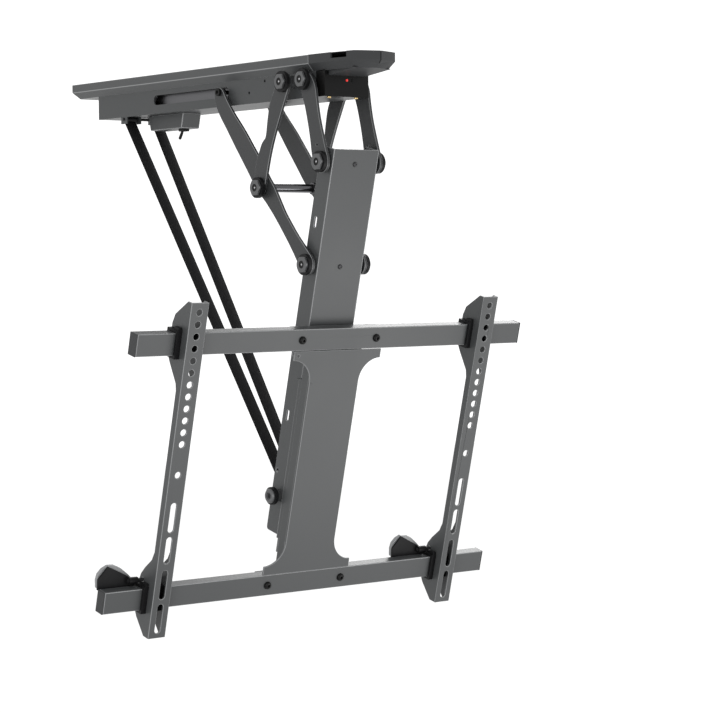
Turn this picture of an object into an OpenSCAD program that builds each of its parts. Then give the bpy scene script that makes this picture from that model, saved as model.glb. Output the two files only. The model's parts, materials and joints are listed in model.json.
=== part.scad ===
// Motorised flip-down ceiling mount for a flat television, at the open pose.
// Origin on the ceiling face, Z up, X along the TV rails, the screen side faces -Y.
// All lengths in millimetres.

/* [Ceiling unit] */
// Overall length of the ceiling cover
cover_length = 694; // [600:1:760]
// Overall width of the ceiling cover
cover_width = 92; // [88:1:120]
// Height of the upright band of the cover
band_height = 12; // [8:1:16]
// Height of the bevel under the band
bevel_height = 10; // [6:1:14]
// Sheet thickness of the cover
cover_wall = 1.5; // [1.2:0.1:2]
// Length of the moulded nose at the front
nose_length = 97; // [80:1:110]
// Width of the nose at its front corners
nose_front_width = 70; // [60:1:80]
// How far the nose front bows forward at the middle
nose_bow = 9; // [4:1:14]
// Length of the cable notch in the nose
cable_notch_length = 27; // [20:1:36]
// From the rear end of the channel to the rear end of the cover
channel_tail = 61; // [50:1:80]
// Width of the channel
channel_width = 74; // [70:1:78]
// Depth of the channel bottom below the ceiling
channel_drop = 56; // [54:1:62]
// Sheet thickness of the channel
channel_wall = 2; // [1.5:0.1:2.5]
// From the nose to the front end of the ceiling plate, and the same at the rear
plate_margin = 3; // [2:1:8]
// Thickness of the ceiling plate
plate_thickness = 4; // [3:0.5:5]
// Lag screw spacing along the unit
lag_spacing_y = 406.4; // [300:0.1:460]
// Lag screw spacing across the unit
lag_spacing_x = 44; // [40:1:48]
// Width of a lag screw slot
lag_slot_width = 9; // [7:0.5:10]
// Length of a lag screw slot
lag_slot_length = 18; // [12:1:24]

/* [Linkage] */
// Front link pivot behind the tip of the cover
front_pivot_setback = 106; // [104:1:112]
// Front link pivot below the ceiling
front_pivot_drop = 32; // [31:0.5:33]
// Distance from the front link pivot back to the lift link pivot
pivot_spacing = 38.4; // [36:0.1:44]
// Lift link pivot below the ceiling
lift_pivot_drop = 32.9; // [31:0.1:34]
// Centre line of the slider slot below the ceiling
slot_drop = 36.4; // [36:0.1:37]
// Lift link length between pivots
lift_link_length = 151.9; // [146:0.1:156]
// Lift link lean from upright, at rest
lift_link_angle = 22.4; // [18:0.1:26]
// Long arm from slider to middle pivot
upper_arm_length = 169.5; // [164:0.1:175]
// Long arm from middle pivot to mast pivot
lower_arm_length = 143.4; // [138:0.1:148]
// Bend of the long arm at its middle pivot
arm_bend = 6.4; // [0:0.1:10]
// Mast distance between its two pivots
mast_pivot_span = 140.2; // [134:0.1:146]
// Width of the long arm
arm_width = 29; // [26:1:30]
// Width of the lift link
lift_link_width = 25; // [22:1:26]
// Width of the front link
front_link_width = 30; // [27:1:31]
// Thickness of links and arms
link_thickness = 4; // [3:0.5:4.5]
// Height of the slider slot
slot_height = 14; // [13:0.5:16]
// Travel of the slider from open to folded
slider_travel = 152; // [146:1:170]

/* [Mast] */
// Mast lean from upright, at rest
mast_lean = 14.3; // [12:0.1:16]
// Mast width
mast_width = 76; // [74:1:78]
// Mast depth
mast_depth = 30; // [28:1:34]
// Sheet thickness of the mast
mast_wall = 2.5; // [2:0.1:3]
// Mast length above its top pivot
mast_top = 20; // [18:1:24]
// Top pivot down to the mast foot
mast_foot = 520; // [500:1:530]
// Top pivot down to the strap axle
axle_drop = 466; // [440:1:480]

/* [TV rails] */
// Rail length
rail_length = 650; // [640:1:760]
// Rail face height
rail_height = 30; // [26:1:32]
// Rail depth
rail_depth = 16; // [14:1:18]
// Rail wall thickness
rail_wall = 1.8; // [1.2:0.1:2.5]
// Top pivot down to the upper rail
upper_rail_drop = 220; // [210:1:230]
// Distance between the two rails
rail_pitch = 347; // [340:1:355]
// Gap between mast front and rail back
rail_standoff = 6; // [5:0.5:8]
// Half spacing of the two screws of a rail
rail_screw_offset = 63; // [54:1:66]
// Width of the spine plate at its waist
spine_waist = 84; // [80:1:96]
// Width of the spine plate at its flared ends
spine_flare = 148; // [140:1:160]
// Radius of the flare
flare_radius = 32; // [24:1:36]
// Spine sheet thickness
spine_wall = 2.5; // [2:0.1:3]

/* [TV arms] */
// Length of a TV arm
tv_arm_length = 456; // [450:1:470]
// Width of a TV arm
tv_arm_width = 27; // [24:1:32]
// Depth of the arm flanges between the rails
flange_depth = 11; // [9:1:14]
// Depth of the arm flanges at the rails
ear_depth = 38; // [36:1:42]
// Sheet thickness of a TV arm
tv_arm_wall = 2.2; // [1.8:0.1:2.5]
// From the end of a rail to the middle of an arm, at rest
arm_end_margin = 78; // [30:1:120]
// Top pivot down to the top of the TV arms
tv_arm_drop = 176; // [170:1:182]
// Diameter of the TV screw holes
tv_hole = 8.8; // [7:0.1:9]
// Pitch of the TV screw holes
tv_hole_pitch = 16; // [15:0.5:20]
// First screw hole below the top of the arm
first_hole = 13; // [10:1:16]
// Thickness of the plastic liner round a rail
liner_wall = 2; // [1.5:0.1:2.5]
// How far the liner collars stand out from the arm
collar_reach = 8; // [6:0.5:9]
// Length of the lock lever
lever_length = 59; // [52:1:62]
// Lever pin above the lower rail
lever_rise = 8; // [7.5:0.1:10]

/* [Straps and winch] */
// Strap width
strap_width = 20; // [16:1:22]
// Strap thickness
strap_thickness = 1.6; // [1.4:0.1:2.4]
// Distance of each strap from the middle
strap_offset = 24; // [22:1:25]
// Diameter of the winch spool barrel
spool_barrel = 14; // [12:1:16]
// Diameter of the spool flanges
spool_flange = 34; // [30:1:38]
// Strap guide roller in front of the channel's rear end
roller_setback = 69.5; // [66:0.5:76]
// Diameter of the strap guide roller
roller_diameter = 10; // [8:1:12]
// Diameter of the drive motor
motor_diameter = 36; // [30:1:38]
// Length of the drive motor
motor_length = 92; // [80:1:100]
// Length of the control box under the channel
box_length = 92; // [70:1:100]
// Width of the control box
box_width = 32; // [26:1:40]
// Height of the control box
box_height = 22; // [18:1:26]

/* [Hardware] */
// Head diameter of the fixed pivot bolts
fixed_head = 22.5; // [20:0.5:24]
// Head diameter of the arm and mast pivot bolts
pivot_head = 24; // [20:0.5:26]
// Thickness of a pivot head
head_thickness = 3; // [2.5:0.1:3.5]
// Diameter of the black washers under the pivot heads
washer_diameter = 28.5; // [26:0.5:30]
// Thickness of the black washers
washer_thickness = 5; // [4:0.5:6]
// Pivot bolt diameter
pivot_bolt = 10; // [8:0.5:11]
// Bush diameter
bush_diameter = 17; // [15:0.5:19]
// Slider bolt diameter inside the slot
slider_bolt = 6; // [5:0.5:6]
// Cross rod diameter
cross_rod = 12; // [11:0.5:14]
// Rail screw head diameter
screw_head = 10; // [9:0.5:11]

/* [Fits] */
// Gap between parts that move past each other
side_gap = 0.7; // [0.5:0.1:0.9]
// Gap between a bolt and its hole
bolt_gap = 0.3; // [0.2:0.05:0.4]
// Gap between seated curved faces
seat_gap = 0.3; // [0.2:0.05:0.4]
// Sliding gap between a liner and its rail
slide_gap = 0.3; // [0.2:0.05:0.5]

/* [Hidden] */
$fn = 48;
cut = cover_wall;                       // overrun of every cut
half = 1 / 2;
// straight pieces of a smooth outline between two of its points
curve_steps = 4;
// ceiling unit
cover_front = -cover_length / 2;
cover_rear = cover_length / 2;
nose_start = cover_front + nose_length;
skirt_drop = band_height + bevel_height;
bevel_inset = (cover_width - channel_width) / 2;
inset_skin = cover_wall / 2;
front_pivot_y = cover_front + front_pivot_setback;
channel_front = front_pivot_y - pivot_spacing * 0.86;
channel_rear = cover_rear - channel_tail;
plate_length = cover_length - 2 * (nose_length + plate_margin);
cap_length = pivot_spacing / 2;
nose_joint_gap = cover_wall;
// fixed pivots as [y, z]
front_pivot = [front_pivot_y, -front_pivot_drop];
lift_pivot = [front_pivot_y + pivot_spacing, -lift_pivot_drop];
mid_pivot = lift_pivot + lift_link_length * [sin(lift_link_angle), -cos(lift_link_angle)];
arm_angle = acos((-slot_drop - mid_pivot[1]) / upper_arm_length);
slider = mid_pivot + upper_arm_length * [sin(arm_angle), cos(arm_angle)];
lower_angle = arm_angle + arm_bend;
mast_pivot = mid_pivot + lower_arm_length * [-sin(lower_angle), -cos(lower_angle)];
top_pivot = mast_pivot - mast_pivot_span * [sin(mast_lean), -cos(mast_lean)];
front_link_vector = top_pivot - front_pivot;
front_link_length = norm(front_link_vector);
front_link_angle = atan2(-front_link_vector[0], -front_link_vector[1]);
// layers across the unit, measured from the middle: long arms and front links, then the lift links outside
wall_face = max(channel_width, mast_width) / 2;
arm_inner = wall_face + link_thickness + side_gap;
arm_outer = arm_inner + link_thickness;
lift_inner = arm_outer + side_gap * 2;
lift_outer = lift_inner + link_thickness;
slot_front = slider[0] - slider_bolt * 0.4;
slot_rear = slider[0] + slider_travel + slot_height * 2;
// mast, in its own frame: y is -w, z is -v from the top pivot
mast_front = -(mast_depth - mast_wall) / 2;
mast_back = mast_front + mast_depth;
web_foot = mast_foot + mast_depth * 0.8;
rail_back = mast_front - rail_standoff;
rail_front = rail_back - rail_depth;
lower_rail_drop = upper_rail_drop + rail_pitch;
spine_front = rail_front - spine_wall / 2;
spine_top = upper_rail_drop + rail_height + slide_gap;
spine_foot = lower_rail_drop - slide_gap;
flare_edge = rail_height * 0.42;
web_front = rail_front - rail_depth;
tv_arm_foot = tv_arm_drop + tv_arm_length;
window_height = rail_height + 2 * (slide_gap + liner_wall + seat_gap);
window_depth = rail_depth + 2 * (slide_gap + liner_wall + seat_gap);
tv_arm_offset = rail_length / 2 - arm_end_margin;
// straps
roller_y = channel_rear - roller_setback;
roller_z = -channel_drop - roller_diameter * 0.3;
axle_y = top_pivot[0] + axle_drop * sin(mast_lean);
axle_z = top_pivot[1] - axle_drop * cos(mast_lean);
anchor_sleeve = pivot_bolt * 1.5;
strap_run = norm([roller_y - axle_y, roller_z - axle_z]);
strap_lean = atan2(roller_y - axle_y, roller_z - axle_z);
spool_y = roller_y + spool_flange * 0.62;
spool_z = -channel_drop + channel_wall + spool_flange * half + side_gap;

// A box given by its low and high corners.
module span(a, b) {
    translate(a) cube(b - a);
}

// A round bar along X from x0 to x1 at [y, z].
module bar_x(x0, x1, at, d) {
    translate([x0, at[0], at[1]]) rotate([0, 90, 0]) cylinder(d = d, h = x1 - x0);
}

// A copy on each side of the middle.
module both_sides() {
    children();
    mirror([1, 0, 0]) children();
}

// A flat outline in the Y-Z plane, given thickness from x0 to x1.
module side_plate(x0, x1) {
    translate([x0, 0, 0]) rotate([90, 0, 90]) linear_extrude(x1 - x0) children();
}

// The mast's own frame: origin on the top pivot, z along the mast.
module on_mast() {
    translate([0, top_pivot[0], top_pivot[1]]) rotate([mast_lean, 0, 0]) children();
}

// A straight strip between two points.
module beam(p, q, d) {
    run = q - p;
    translate(p) rotate(atan2(run[1], run[0])) translate([0, -d / 2]) square([norm(run), d]);
}

// A bar along X that narrows from d0 to d1.
module cone_x(x0, x1, at, d0, d1) {
    translate([x0, at[0], at[1]]) rotate([0, 90, 0]) cylinder(d1 = d0, d2 = d1, h = x1 - x0);
}

// A ring along X round a pivot bolt.
module ring_x(x0, x1, at, d, bore) {
    difference() {
        bar_x(x0, x1, at, d);
        bar_x(x0 - cut, x1 + cut, at, bore);
    }
}

// Smooth curve from b to c, with a and d as the points before and after them.
function curve(a, b, c, d, t) =
    half * (2 * b + (c - a) * t + (2 * a - 5 * b + 4 * c - d) * t * t + (3 * (b - c) + d - a) * t * t * t);

// Closed smooth outline through a list of points.
function smooth_loop(p) = [for (i = [0:len(p) - 1], k = [0:curve_steps - 1])
    curve(p[(i + len(p) - 1) % len(p)], p[i], p[(i + 1) % len(p)], p[(i + 2) % len(p)], k / curve_steps)];

// Points beside the line from a to b, from shares of its length and of a width.
function beside(a, b, shares, width) =
    let (run = b - a, side = [run[1], -run[0]] / norm(run))
    [for (s = shares) a + run * s[0] + side * width * s[1]];

// A slot outline of width d between two points along one line.
module slot(p, q, d) {
    translate(p) circle(d = d);
    translate(q) circle(d = d);
    beam(p, q, d);
}

// Ceiling unit

module ceiling_plate() {
    color("DimGray") difference() {
        span([-channel_width / 2, -plate_length / 2, -plate_thickness], [channel_width / 2, plate_length / 2, 0]);
        for (x = [-1, 1], y = [-1, 1])
            translate([x * lag_spacing_x / 2, y * lag_spacing_y / 2, -plate_thickness - cut])
                linear_extrude(plate_thickness + 2 * cut)
                    slot([-(lag_slot_length - lag_slot_width) / 2, 0], [(lag_slot_length - lag_slot_width) / 2, 0], lag_slot_width);
    }
}

// Tray solid of the skirt: an upright band over a bevel, drawn inward by a distance.
module skirt_solid(inset, top, front) {
    half_width = cover_width / 2 - inset;
    foot_half = half_width - bevel_inset;
    rear = cover_rear - inset;
    span([-half_width, front, -band_height], [half_width, rear, top]);
    hull() {
        span([-half_width, front, -band_height], [half_width, rear, -band_height + inset_skin]);
        span([-foot_half, front, -skirt_drop + inset], [foot_half, rear - bevel_inset, -skirt_drop + inset + inset_skin]);
    }
}

module cover_skirt() {
    color("Gray") difference() {
        skirt_solid(0, 0, nose_start + seat_gap);
        skirt_solid(cover_wall, cut, nose_start - cut);
        // opening for the channel
        span([-channel_width / 2, nose_start - cut, -skirt_drop - cut], [channel_width / 2, channel_rear, cut]);
    }
}

// Plan outline of the nose, drawn inward by a distance.
module nose_plan(inset) {
    half_width = cover_width / 2 - inset;
    front_half = nose_front_width / 2 - inset * half;
    corner_y = cover_front + nose_bow + inset;
    polygon([
        [-half_width, nose_start],
        [-half_width + (half_width - front_half) * 0.3, nose_start - nose_length * 0.45],
        [-front_half, corner_y + nose_bow * half],
        [-front_half + nose_bow, corner_y],
        [0, cover_front + inset],
        [front_half - nose_bow, corner_y],
        [front_half, corner_y + nose_bow * half],
        [half_width - (half_width - front_half) * 0.3, nose_start - nose_length * 0.45],
        [half_width, nose_start]]);
}

module cover_nose() {
    color("Gray") difference() {
        union() {
            // upright band
            translate([0, 0, -band_height]) linear_extrude(band_height) nose_plan(0);
            nose_bevel();
            nose_pan();
        }
        // cable notch on the near side
        translate([-cover_width, nose_start - nose_length * 0.59 - cable_notch_length * half, -band_height * 0.65])
            cube([cover_width - nose_front_width * 0.4, cable_notch_length, band_height]);
        // folded corner gap at the middle of the front
        translate([-nose_joint_gap * half, cover_front - cut, -skirt_drop - cut])
            cube([nose_joint_gap, nose_bow * half + cut, skirt_drop + 2 * cut]);
        // room for the channel
        span([-channel_width / 2, channel_front, -channel_drop],
            [channel_width / 2, nose_start + cut, cut]);
        // hollow over the bevel
        translate([0, cut, -band_height - cover_wall * half]) linear_extrude(band_height - cover_wall * half) nose_plan(cover_wall * 2);
    }
}

// Bevel of the nose, from the band's outline to one drawn inward.
module nose_bevel() {
    hull() {
        translate([0, 0, -band_height]) linear_extrude(cover_wall * half) nose_plan(0);
        translate([0, 0, -skirt_drop]) linear_extrude(cover_wall * half) nose_plan(bevel_inset);
    }
}

// Shallow pan under the nose that falls towards the front cap.
module nose_pan() {
    pan_half = nose_front_width / 2 - bevel_inset * half;
    hull() {
        span([-pan_half, cover_front + bevel_inset + nose_bow, -skirt_drop], [pan_half, channel_front, -skirt_drop + inset_skin]);
        span([-pan_half, channel_front - cover_wall, -skirt_drop - band_height * half], [pan_half, channel_front, -skirt_drop]);
    }
}

module channel() {
    color("SlateGray") difference() {
        span([-channel_width / 2, channel_front + cap_length, -channel_drop], [channel_width / 2, channel_rear, -plate_thickness]);
        span([-channel_width / 2 + channel_wall, channel_front - cut, -channel_drop + channel_wall],
            [channel_width / 2 - channel_wall, channel_rear - channel_wall, cut]);
        // slider slots through both walls
        side_plate(-channel_width / 2 - cut, channel_width / 2 + cut)
            slot([slot_front, -slot_drop], [slot_rear - slot_height / 2, -slot_drop], slot_height);
        // strap openings in the bottom
        for (s = [-1, 1])
            translate([s * strap_offset, 0, -channel_drop - cut]) linear_extrude(channel_wall + 2 * cut)
                translate([-strap_width / 2 - side_gap, roller_y - roller_diameter])
                    square([strap_width + 2 * side_gap, roller_diameter * 2]);
        // fixed pivot holes
        for (p = [front_pivot, lift_pivot])
            bar_x(-channel_width / 2 - cut, channel_width / 2 + cut, p, pivot_bolt + 2 * bolt_gap);
        // small tooling holes
        for (p = [[lift_pivot[0] + pivot_spacing * 1.65, -lift_pivot_drop + channel_wall * 3], [lift_pivot[0] + pivot_spacing * 2.6, -lift_pivot_drop - channel_wall * 4]])
            bar_x(-channel_width / 2 - cut, channel_width / 2 + cut, p, pivot_bolt * 0.4);
    }
}

module front_cap() {
    cap_top = -skirt_drop;
    color("Black") difference() {
        span([-channel_width / 2, channel_front, -channel_drop], [channel_width / 2, channel_front + cap_length - seat_gap, cap_top]);
        span([-channel_width / 2 + channel_wall, channel_front + channel_wall, -channel_drop + channel_wall],
            [channel_width / 2 - channel_wall, channel_front + cap_length, cap_top + cut]);
        // windows for the light and the receiver
        for (x = [0, led_pitch])
            translate([x, channel_front - cut, led_z]) rotate([-90, 0, 0]) cylinder(d = led_hole, h = channel_wall + 2 * cut);
    }
}
led_z = -front_pivot_drop - channel_wall;
led_pitch = pivot_bolt;
led_hole = channel_wall * 2;

module led_lens() {
    color("Red") translate([0, channel_front - cover_wall * half, led_z]) rotate([-90, 0, 0])
        cylinder(d = led_hole - 2 * bolt_gap, h = channel_wall + cover_wall * half);
}

module ir_window() {
    color("Black") translate([led_pitch, channel_front - cover_wall * half, led_z]) rotate([-90, 0, 0])
        cylinder(d = led_hole - 2 * bolt_gap, h = channel_wall + cover_wall * half);
}

// C-shaped rails behind the slots, in which the slider rollers run.
module guide_rails() {
    rail_lip = channel_wall * 2.5;
    outer = channel_width / 2 - channel_wall;
    depth = link_thickness * 2.6;
    color("Silver") both_sides() difference() {
        span([outer - depth, slot_front - slot_height, -slot_drop - slot_height * 0.85],
            [outer, slot_rear + slot_height * 0.4, -slot_drop + slot_height * 0.85]);
        span([outer - depth + channel_wall, slot_front - slot_height - cut, -slot_drop - slot_height * 0.7],
            [outer - channel_wall, slot_rear + slot_height, -slot_drop + slot_height * 0.7]);
        span([outer - channel_wall - cut, slot_front - slot_height - cut, -slot_drop - slot_height / 2],
            [outer + cut, slot_rear + slot_height, -slot_drop + slot_height / 2]);
    }
}

module winch_bearings() {
    inner = channel_width / 2 - channel_wall;
    block = link_thickness * 1.2;
    color("DimGray") both_sides() difference() {
        span([inner - block, spool_y - spool_barrel, -channel_drop + channel_wall], [inner, spool_y + spool_barrel, spool_z + spool_barrel]);
        bar_x(inner - block - cut, inner + cut, [spool_y, spool_z], pivot_bolt + 2 * bolt_gap);
    }
}

// Spool barrel, four flanges and the wound strap on each side.
module winch_spool() {
    inner = channel_width / 2 - channel_wall - link_thickness * 1.2 - side_gap;
    flange = channel_wall * half;
    color("Silver") {
        bar_x(-channel_width / 2 + channel_wall, channel_width / 2 - channel_wall, [spool_y, spool_z], pivot_bolt);
        bar_x(-inner, inner, [spool_y, spool_z], spool_barrel);
        for (x = [-inner, -inner + strap_width + flange + side_gap * half, inner - strap_width - 2 * flange - side_gap * half, inner - flange])
            bar_x(x, x + flange, [spool_y, spool_z], spool_flange);
    }
}

module roller_bracket() {
    tab = channel_wall;
    reach = roller_diameter * 0.8;
    foot = roller_z + roller_diameter * 0.1 - reach;
    color("DimGray") both_sides() for (x = [strap_offset - strap_width / 2 - side_gap - tab, strap_offset + strap_width / 2 + side_gap])
        difference() {
            span([x, roller_y - reach, foot], [x + tab, roller_y + reach, -channel_drop]);
            bar_x(x - cut, x + tab + cut, [roller_y, roller_z], roller_pin + 2 * bolt_gap);
        }
}
roller_pin = roller_diameter * 0.4;

module strap_rollers() {
    at = [roller_y, roller_z];
    color("Silver") {
        bar_x(-strap_offset - strap_width / 2 - channel_wall * 2, strap_offset + strap_width / 2 + channel_wall * 2, at, roller_pin);
        for (s = [-1, 1])
            bar_x(s * strap_offset - strap_width / 2, s * strap_offset + strap_width / 2, at, roller_diameter * 0.8);
    }
}

module drive_motor() {
    at = [gear_front - motor_length * half, -channel_drop + channel_wall + motor_diameter / 2 + seat_gap];
    color("DimGray") {
        translate([0, gear_front - seat_gap, at[1]]) rotate([90, 0, 0]) cylinder(d = motor_diameter, h = motor_length);
        translate([0, gear_front - motor_length - seat_gap, at[1]]) rotate([90, 0, 0])
            cylinder(d = motor_diameter * 0.4, h = channel_wall * 3);
    }
}
gear_length = spool_flange * 1.5;
gear_front = spool_y - spool_flange * 0.5 - gear_length - side_gap;

module gearbox() {
    color("Silver") {
        span([-motor_diameter * half, gear_front, -channel_drop + channel_wall],
            [motor_diameter * half, gear_front + gear_length, -plate_thickness - channel_wall]);
    }
}

module power_supply() {
    top = -plate_thickness - channel_wall;
    front = gear_front - motor_length * 2.6;
    color("DarkGreen") {
        span([-motor_diameter * 0.6, front, -channel_drop + channel_wall], [motor_diameter * 0.6, front + motor_length, -channel_drop + channel_wall * 2]);
        for (x = [-1, 1])
            translate([x * motor_diameter * 0.3, front + motor_length * 0.3, -channel_drop + channel_wall * 2]) cylinder(d = motor_diameter * 0.4, h = motor_diameter * 0.6);
        span([-motor_diameter * 0.3, front + motor_length * 0.55, -channel_drop + channel_wall * 2],
            [motor_diameter * 0.3, front + motor_length * 0.9, -channel_drop + motor_diameter * half]);
    }
}

// Side view of the control box, narrower at the bottom, drawn inward by a distance.
module box_side(inset) {
    taper = box_height * 0.26;
    foot = -channel_drop - box_height + inset;
    polygon([[box_rear - inset, -channel_drop], [box_rear - box_length + inset, -channel_drop],
        [box_rear - box_length + taper + inset, foot], [box_rear - taper - inset, foot]]);
}
box_rear = roller_y - roller_diameter * 3.4;

module control_box() {
    color("DimGray") difference() {
        side_plate(-box_width / 2, box_width / 2) box_side(0);
        side_plate(-box_width / 2 + cover_wall, box_width / 2 - cover_wall) box_side(cover_wall);
        for (i = [0:4])
            span([-box_width, box_rear - box_length * 0.3 - i * cover_wall * 4, -channel_drop - box_height * 0.7],
                [box_width, box_rear - box_length * 0.3 - i * cover_wall * 4 + cover_wall, -channel_drop - box_height * 0.3]);
    }
}

module antenna() {
    foot = -channel_drop - box_height;
    y = box_rear - box_length * 0.82;
    color("Black") {
        span([-box_width * 0.3, y - box_height * 0.2, foot - box_height * 0.18], [box_width * 0.05, y + box_height * 0.4, foot]);
        // short stub that leans back
        translate([-box_width * 0.12, y, foot - box_height * 0.1]) rotate([180 - antenna_lean, 0, 0])
            cylinder(d = box_width * 0.14, h = box_width * 0.42);
    }
}
antenna_lean = 35;

module plate_screws() {
    head = pivot_bolt * 0.6;
    color("Goldenrod") {
        for (x = [-1, 1], y = [channel_front + cap_length * 0.5])
            translate([x * channel_width * 0.31, y, -channel_drop - head * 0.35]) {
                cylinder(d = head, h = head * 0.35);
            }
        // cover screws into the channel side, under the bevel
        for (x = [-1, 1], y = [-plate_length * 0.3, plate_length * 0.3])
            translate([x * channel_width * 0.31, y, -channel_drop - head * 0.35]) cylinder(d = head, h = head * 0.35);
    }
}

// Linkage

// Where the washer and the head of a pivot start, outside a link whose face is given.
function washer_seat(face) = face + side_gap * half;
function head_seat(face) = washer_seat(face) + washer_thickness + seat_gap;

// Bolt from an inner end out to its head, which has a bevelled rim and a hex socket.
module pivot_stack(at, inner, face, head) {
    seat = head_seat(face);
    rim = seat + head_thickness * 0.55;
    difference() {
        union() {
            bar_x(inner, seat, at, pivot_bolt);
            bar_x(seat, rim, at, head);
            cone_x(rim, seat + head_thickness, at, head, head * 0.86);
        }
        bar_x(seat + head_thickness * 0.7, seat + head_thickness + cut, at, pivot_bolt * 1.05);
        translate([seat - head_thickness * half, at[0], at[1]]) rotate([0, 90, 0])
            cylinder(d = pivot_bolt * 0.85, h = head_thickness * 2, $fn = 6);
    }
}

// Black washer between a link face and a pivot head.
module pivot_washer(at, face, d) {
    ring_x(washer_seat(face), washer_seat(face) + washer_thickness, at, d, pivot_bolt + 2 * bolt_gap);
}

module fixed_pivots() {
    nut = channel_width / 2 - channel_wall - seat_gap;
    color("Silver") both_sides() for (s = [[front_pivot, arm_inner, arm_outer], [lift_pivot, lift_inner, lift_outer]]) {
        pivot_stack(s[0], nut - link_thickness, s[2], fixed_head);
        ring_x(channel_width / 2 + seat_gap * half, s[1] - side_gap * half, s[0], bush_diameter, pivot_bolt - cover_wall * half);
        bar_x(nut - link_thickness, nut, s[0], bush_diameter);
    }
}

module fixed_washers() {
    color("Black") both_sides() {
        pivot_washer(front_pivot, arm_outer, washer_diameter);
        pivot_washer(lift_pivot, lift_outer, washer_diameter);
    }
}

// Outline of a lift link, as shares of its length and of its width: a stop bulge, a waist and a wide foot.
lift_link_share = [
    [0, -0.504], [0.099, -0.64], [0.227, -0.744], [0.296, -0.744], [0.375, -0.672], [0.448, -0.584],
    [0.507, -0.504], [0.553, -0.488], [0.586, -0.592], [0.625, -0.688], [0.691, -0.736], [0.777, -0.784],
    [0.862, -0.744], [0.941, -0.624], [1, -0.464], [1.05, -0.304], [1.07, 0], [1.05, 0.304],
    [1, 0.432], [0.873, 0.372], [0.731, 0.28], [0.632, 0.248], [0.537, 0.248], [0.408, 0.288],
    [0.286, 0.352], [0.132, 0.44], [0, 0.5], [-0.059, 0.36], [-0.083, 0], [-0.059, -0.36]];

module lift_links() {
    outline = smooth_loop(beside(lift_pivot, mid_pivot, lift_link_share, lift_link_width));
    color("DimGray") both_sides() side_plate(lift_inner, lift_outer) difference() {
        polygon(outline);
        for (p = [lift_pivot, mid_pivot])
            translate(p) circle(d = pivot_bolt + 2 * bolt_gap);
    }
}

module cross_rod() {
    color("Black") {
        bar_x(-arm_inner + side_gap * half, arm_inner - side_gap * half, mid_pivot, cross_rod);
        both_sides() difference() {
            bar_x(arm_inner - link_thickness - side_gap * half, arm_inner - side_gap * half, mid_pivot, bush_diameter);
            bar_x(arm_inner - link_thickness * 2, arm_inner, mid_pivot, cross_rod - cover_wall * half);
        }
    }
}

module middle_pivots() {
    color("Silver") both_sides()
        pivot_stack(mid_pivot, arm_inner - side_gap * half, lift_outer, pivot_head);
}

module middle_washers() {
    color("Black") both_sides() pivot_washer(mid_pivot, lift_outer, washer_diameter);
}

// Outline of the long arm, as shares of each half's length and of the arm's width.
// Front edge above the bend
upper_front_share = [
    [0.012, 0.248], [0.088, 0.234], [0.183, 0.248], [0.295, 0.317], [0.401, 0.414], [0.501, 0.49],
    [0.608, 0.541], [0.708, 0.593], [0.802, 0.634], [0.903, 0.669]];
// Below the bend, round the foot and up again
lower_arm_share = [
    [0, 0.686], [0.098, 0.676], [0.174, 0.634], [0.307, 0.531], [0.418, 0.455], [0.537, 0.428],
    [0.662, 0.421], [0.767, 0.441], [0.851, 0.472], [0.934, 0.5], [1, 0.5], [1.07, 0.352],
    [1.1, 0], [1.07, -0.352], [1, -0.5], [0.903, -0.445], [0.809, -0.386], [0.725, -0.348],
    [0.628, -0.314], [0.523, -0.293], [0.404, -0.272], [0.279, -0.272], [0.139, -0.303], [0.028, -0.359]];
// Rear edge above the bend and round the sliding end
upper_rear_share = [
    [0.885, -0.455], [0.755, -0.493], [0.643, -0.528], [0.49, -0.579], [0.324, -0.614], [0.189, -0.655],
    [0.094, -0.641], [0.018, -0.538], [-0.035, -0.366], [-0.051, -0.138], [-0.032, 0.103]];

module long_arms() {
    outline = smooth_loop(concat(
        beside(slider, mid_pivot, upper_front_share, arm_width),
        beside(mid_pivot, mast_pivot, lower_arm_share, arm_width),
        beside(slider, mid_pivot, upper_rear_share, arm_width)));
    color("DimGray") both_sides() side_plate(arm_inner, arm_outer) difference() {
        polygon(outline);
        translate(slider) circle(d = slider_bolt + 2 * bolt_gap);
        for (p = [mid_pivot, mast_pivot])
            translate(p) circle(d = pivot_bolt + 2 * bolt_gap);
    }
}

module slider_bolts() {
    inner = channel_width / 2 - channel_wall - link_thickness * 2;
    seat = arm_outer + side_gap * half;
    head = pivot_bolt * 1.1;
    color("Silver") both_sides() {
        difference() {
            union() {
                bar_x(inner, seat, slider, slider_bolt);
                bar_x(seat, seat + head_thickness * 1.2, slider, head);
            }
            translate([seat + head_thickness * half, slider[0], slider[1]]) rotate([0, 90, 0])
                cylinder(d = head * half, h = head_thickness, $fn = 6);
        }
        // shoulder bush between wall and arm
        ring_x(wall_face + side_gap, arm_inner - side_gap * half, slider, head, slider_bolt - cover_wall * half);
    }
}

// Outline of a front link, as shares of its length and of its width.
front_link_share = [
    [-0.107, 0], [-0.077, 0.3], [0, 0.493], [0.086, 0.607], [0.177, 0.633], [0.309, 0.553],
    [0.478, 0.48], [0.6, 0.46], [0.729, 0.46], [0.892, 0.467], [1, 0.487], [1.09, 0.347],
    [1.13, 0], [1.09, -0.367], [1, -0.527], [0.909, -0.54], [0.823, -0.513], [0.703, -0.44],
    [0.523, -0.37], [0.309, -0.333], [0.142, -0.36], [0, -0.413], [-0.077, -0.287]];
// the small hole near its lower end, in the same shares
front_hole_share = [0.792, -0.05];

module front_links() {
    outline = smooth_loop(beside(front_pivot, top_pivot, front_link_share, front_link_width));
    color("DimGray") both_sides() side_plate(arm_inner, arm_outer) difference() {
        polygon(outline);
        for (p = [front_pivot, top_pivot])
            translate(p) circle(d = pivot_bolt + 2 * bolt_gap);
        for (p = beside(front_pivot, top_pivot, [front_hole_share], front_link_width))
            translate(p) circle(d = pivot_bolt * 0.4);
    }
}

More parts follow.
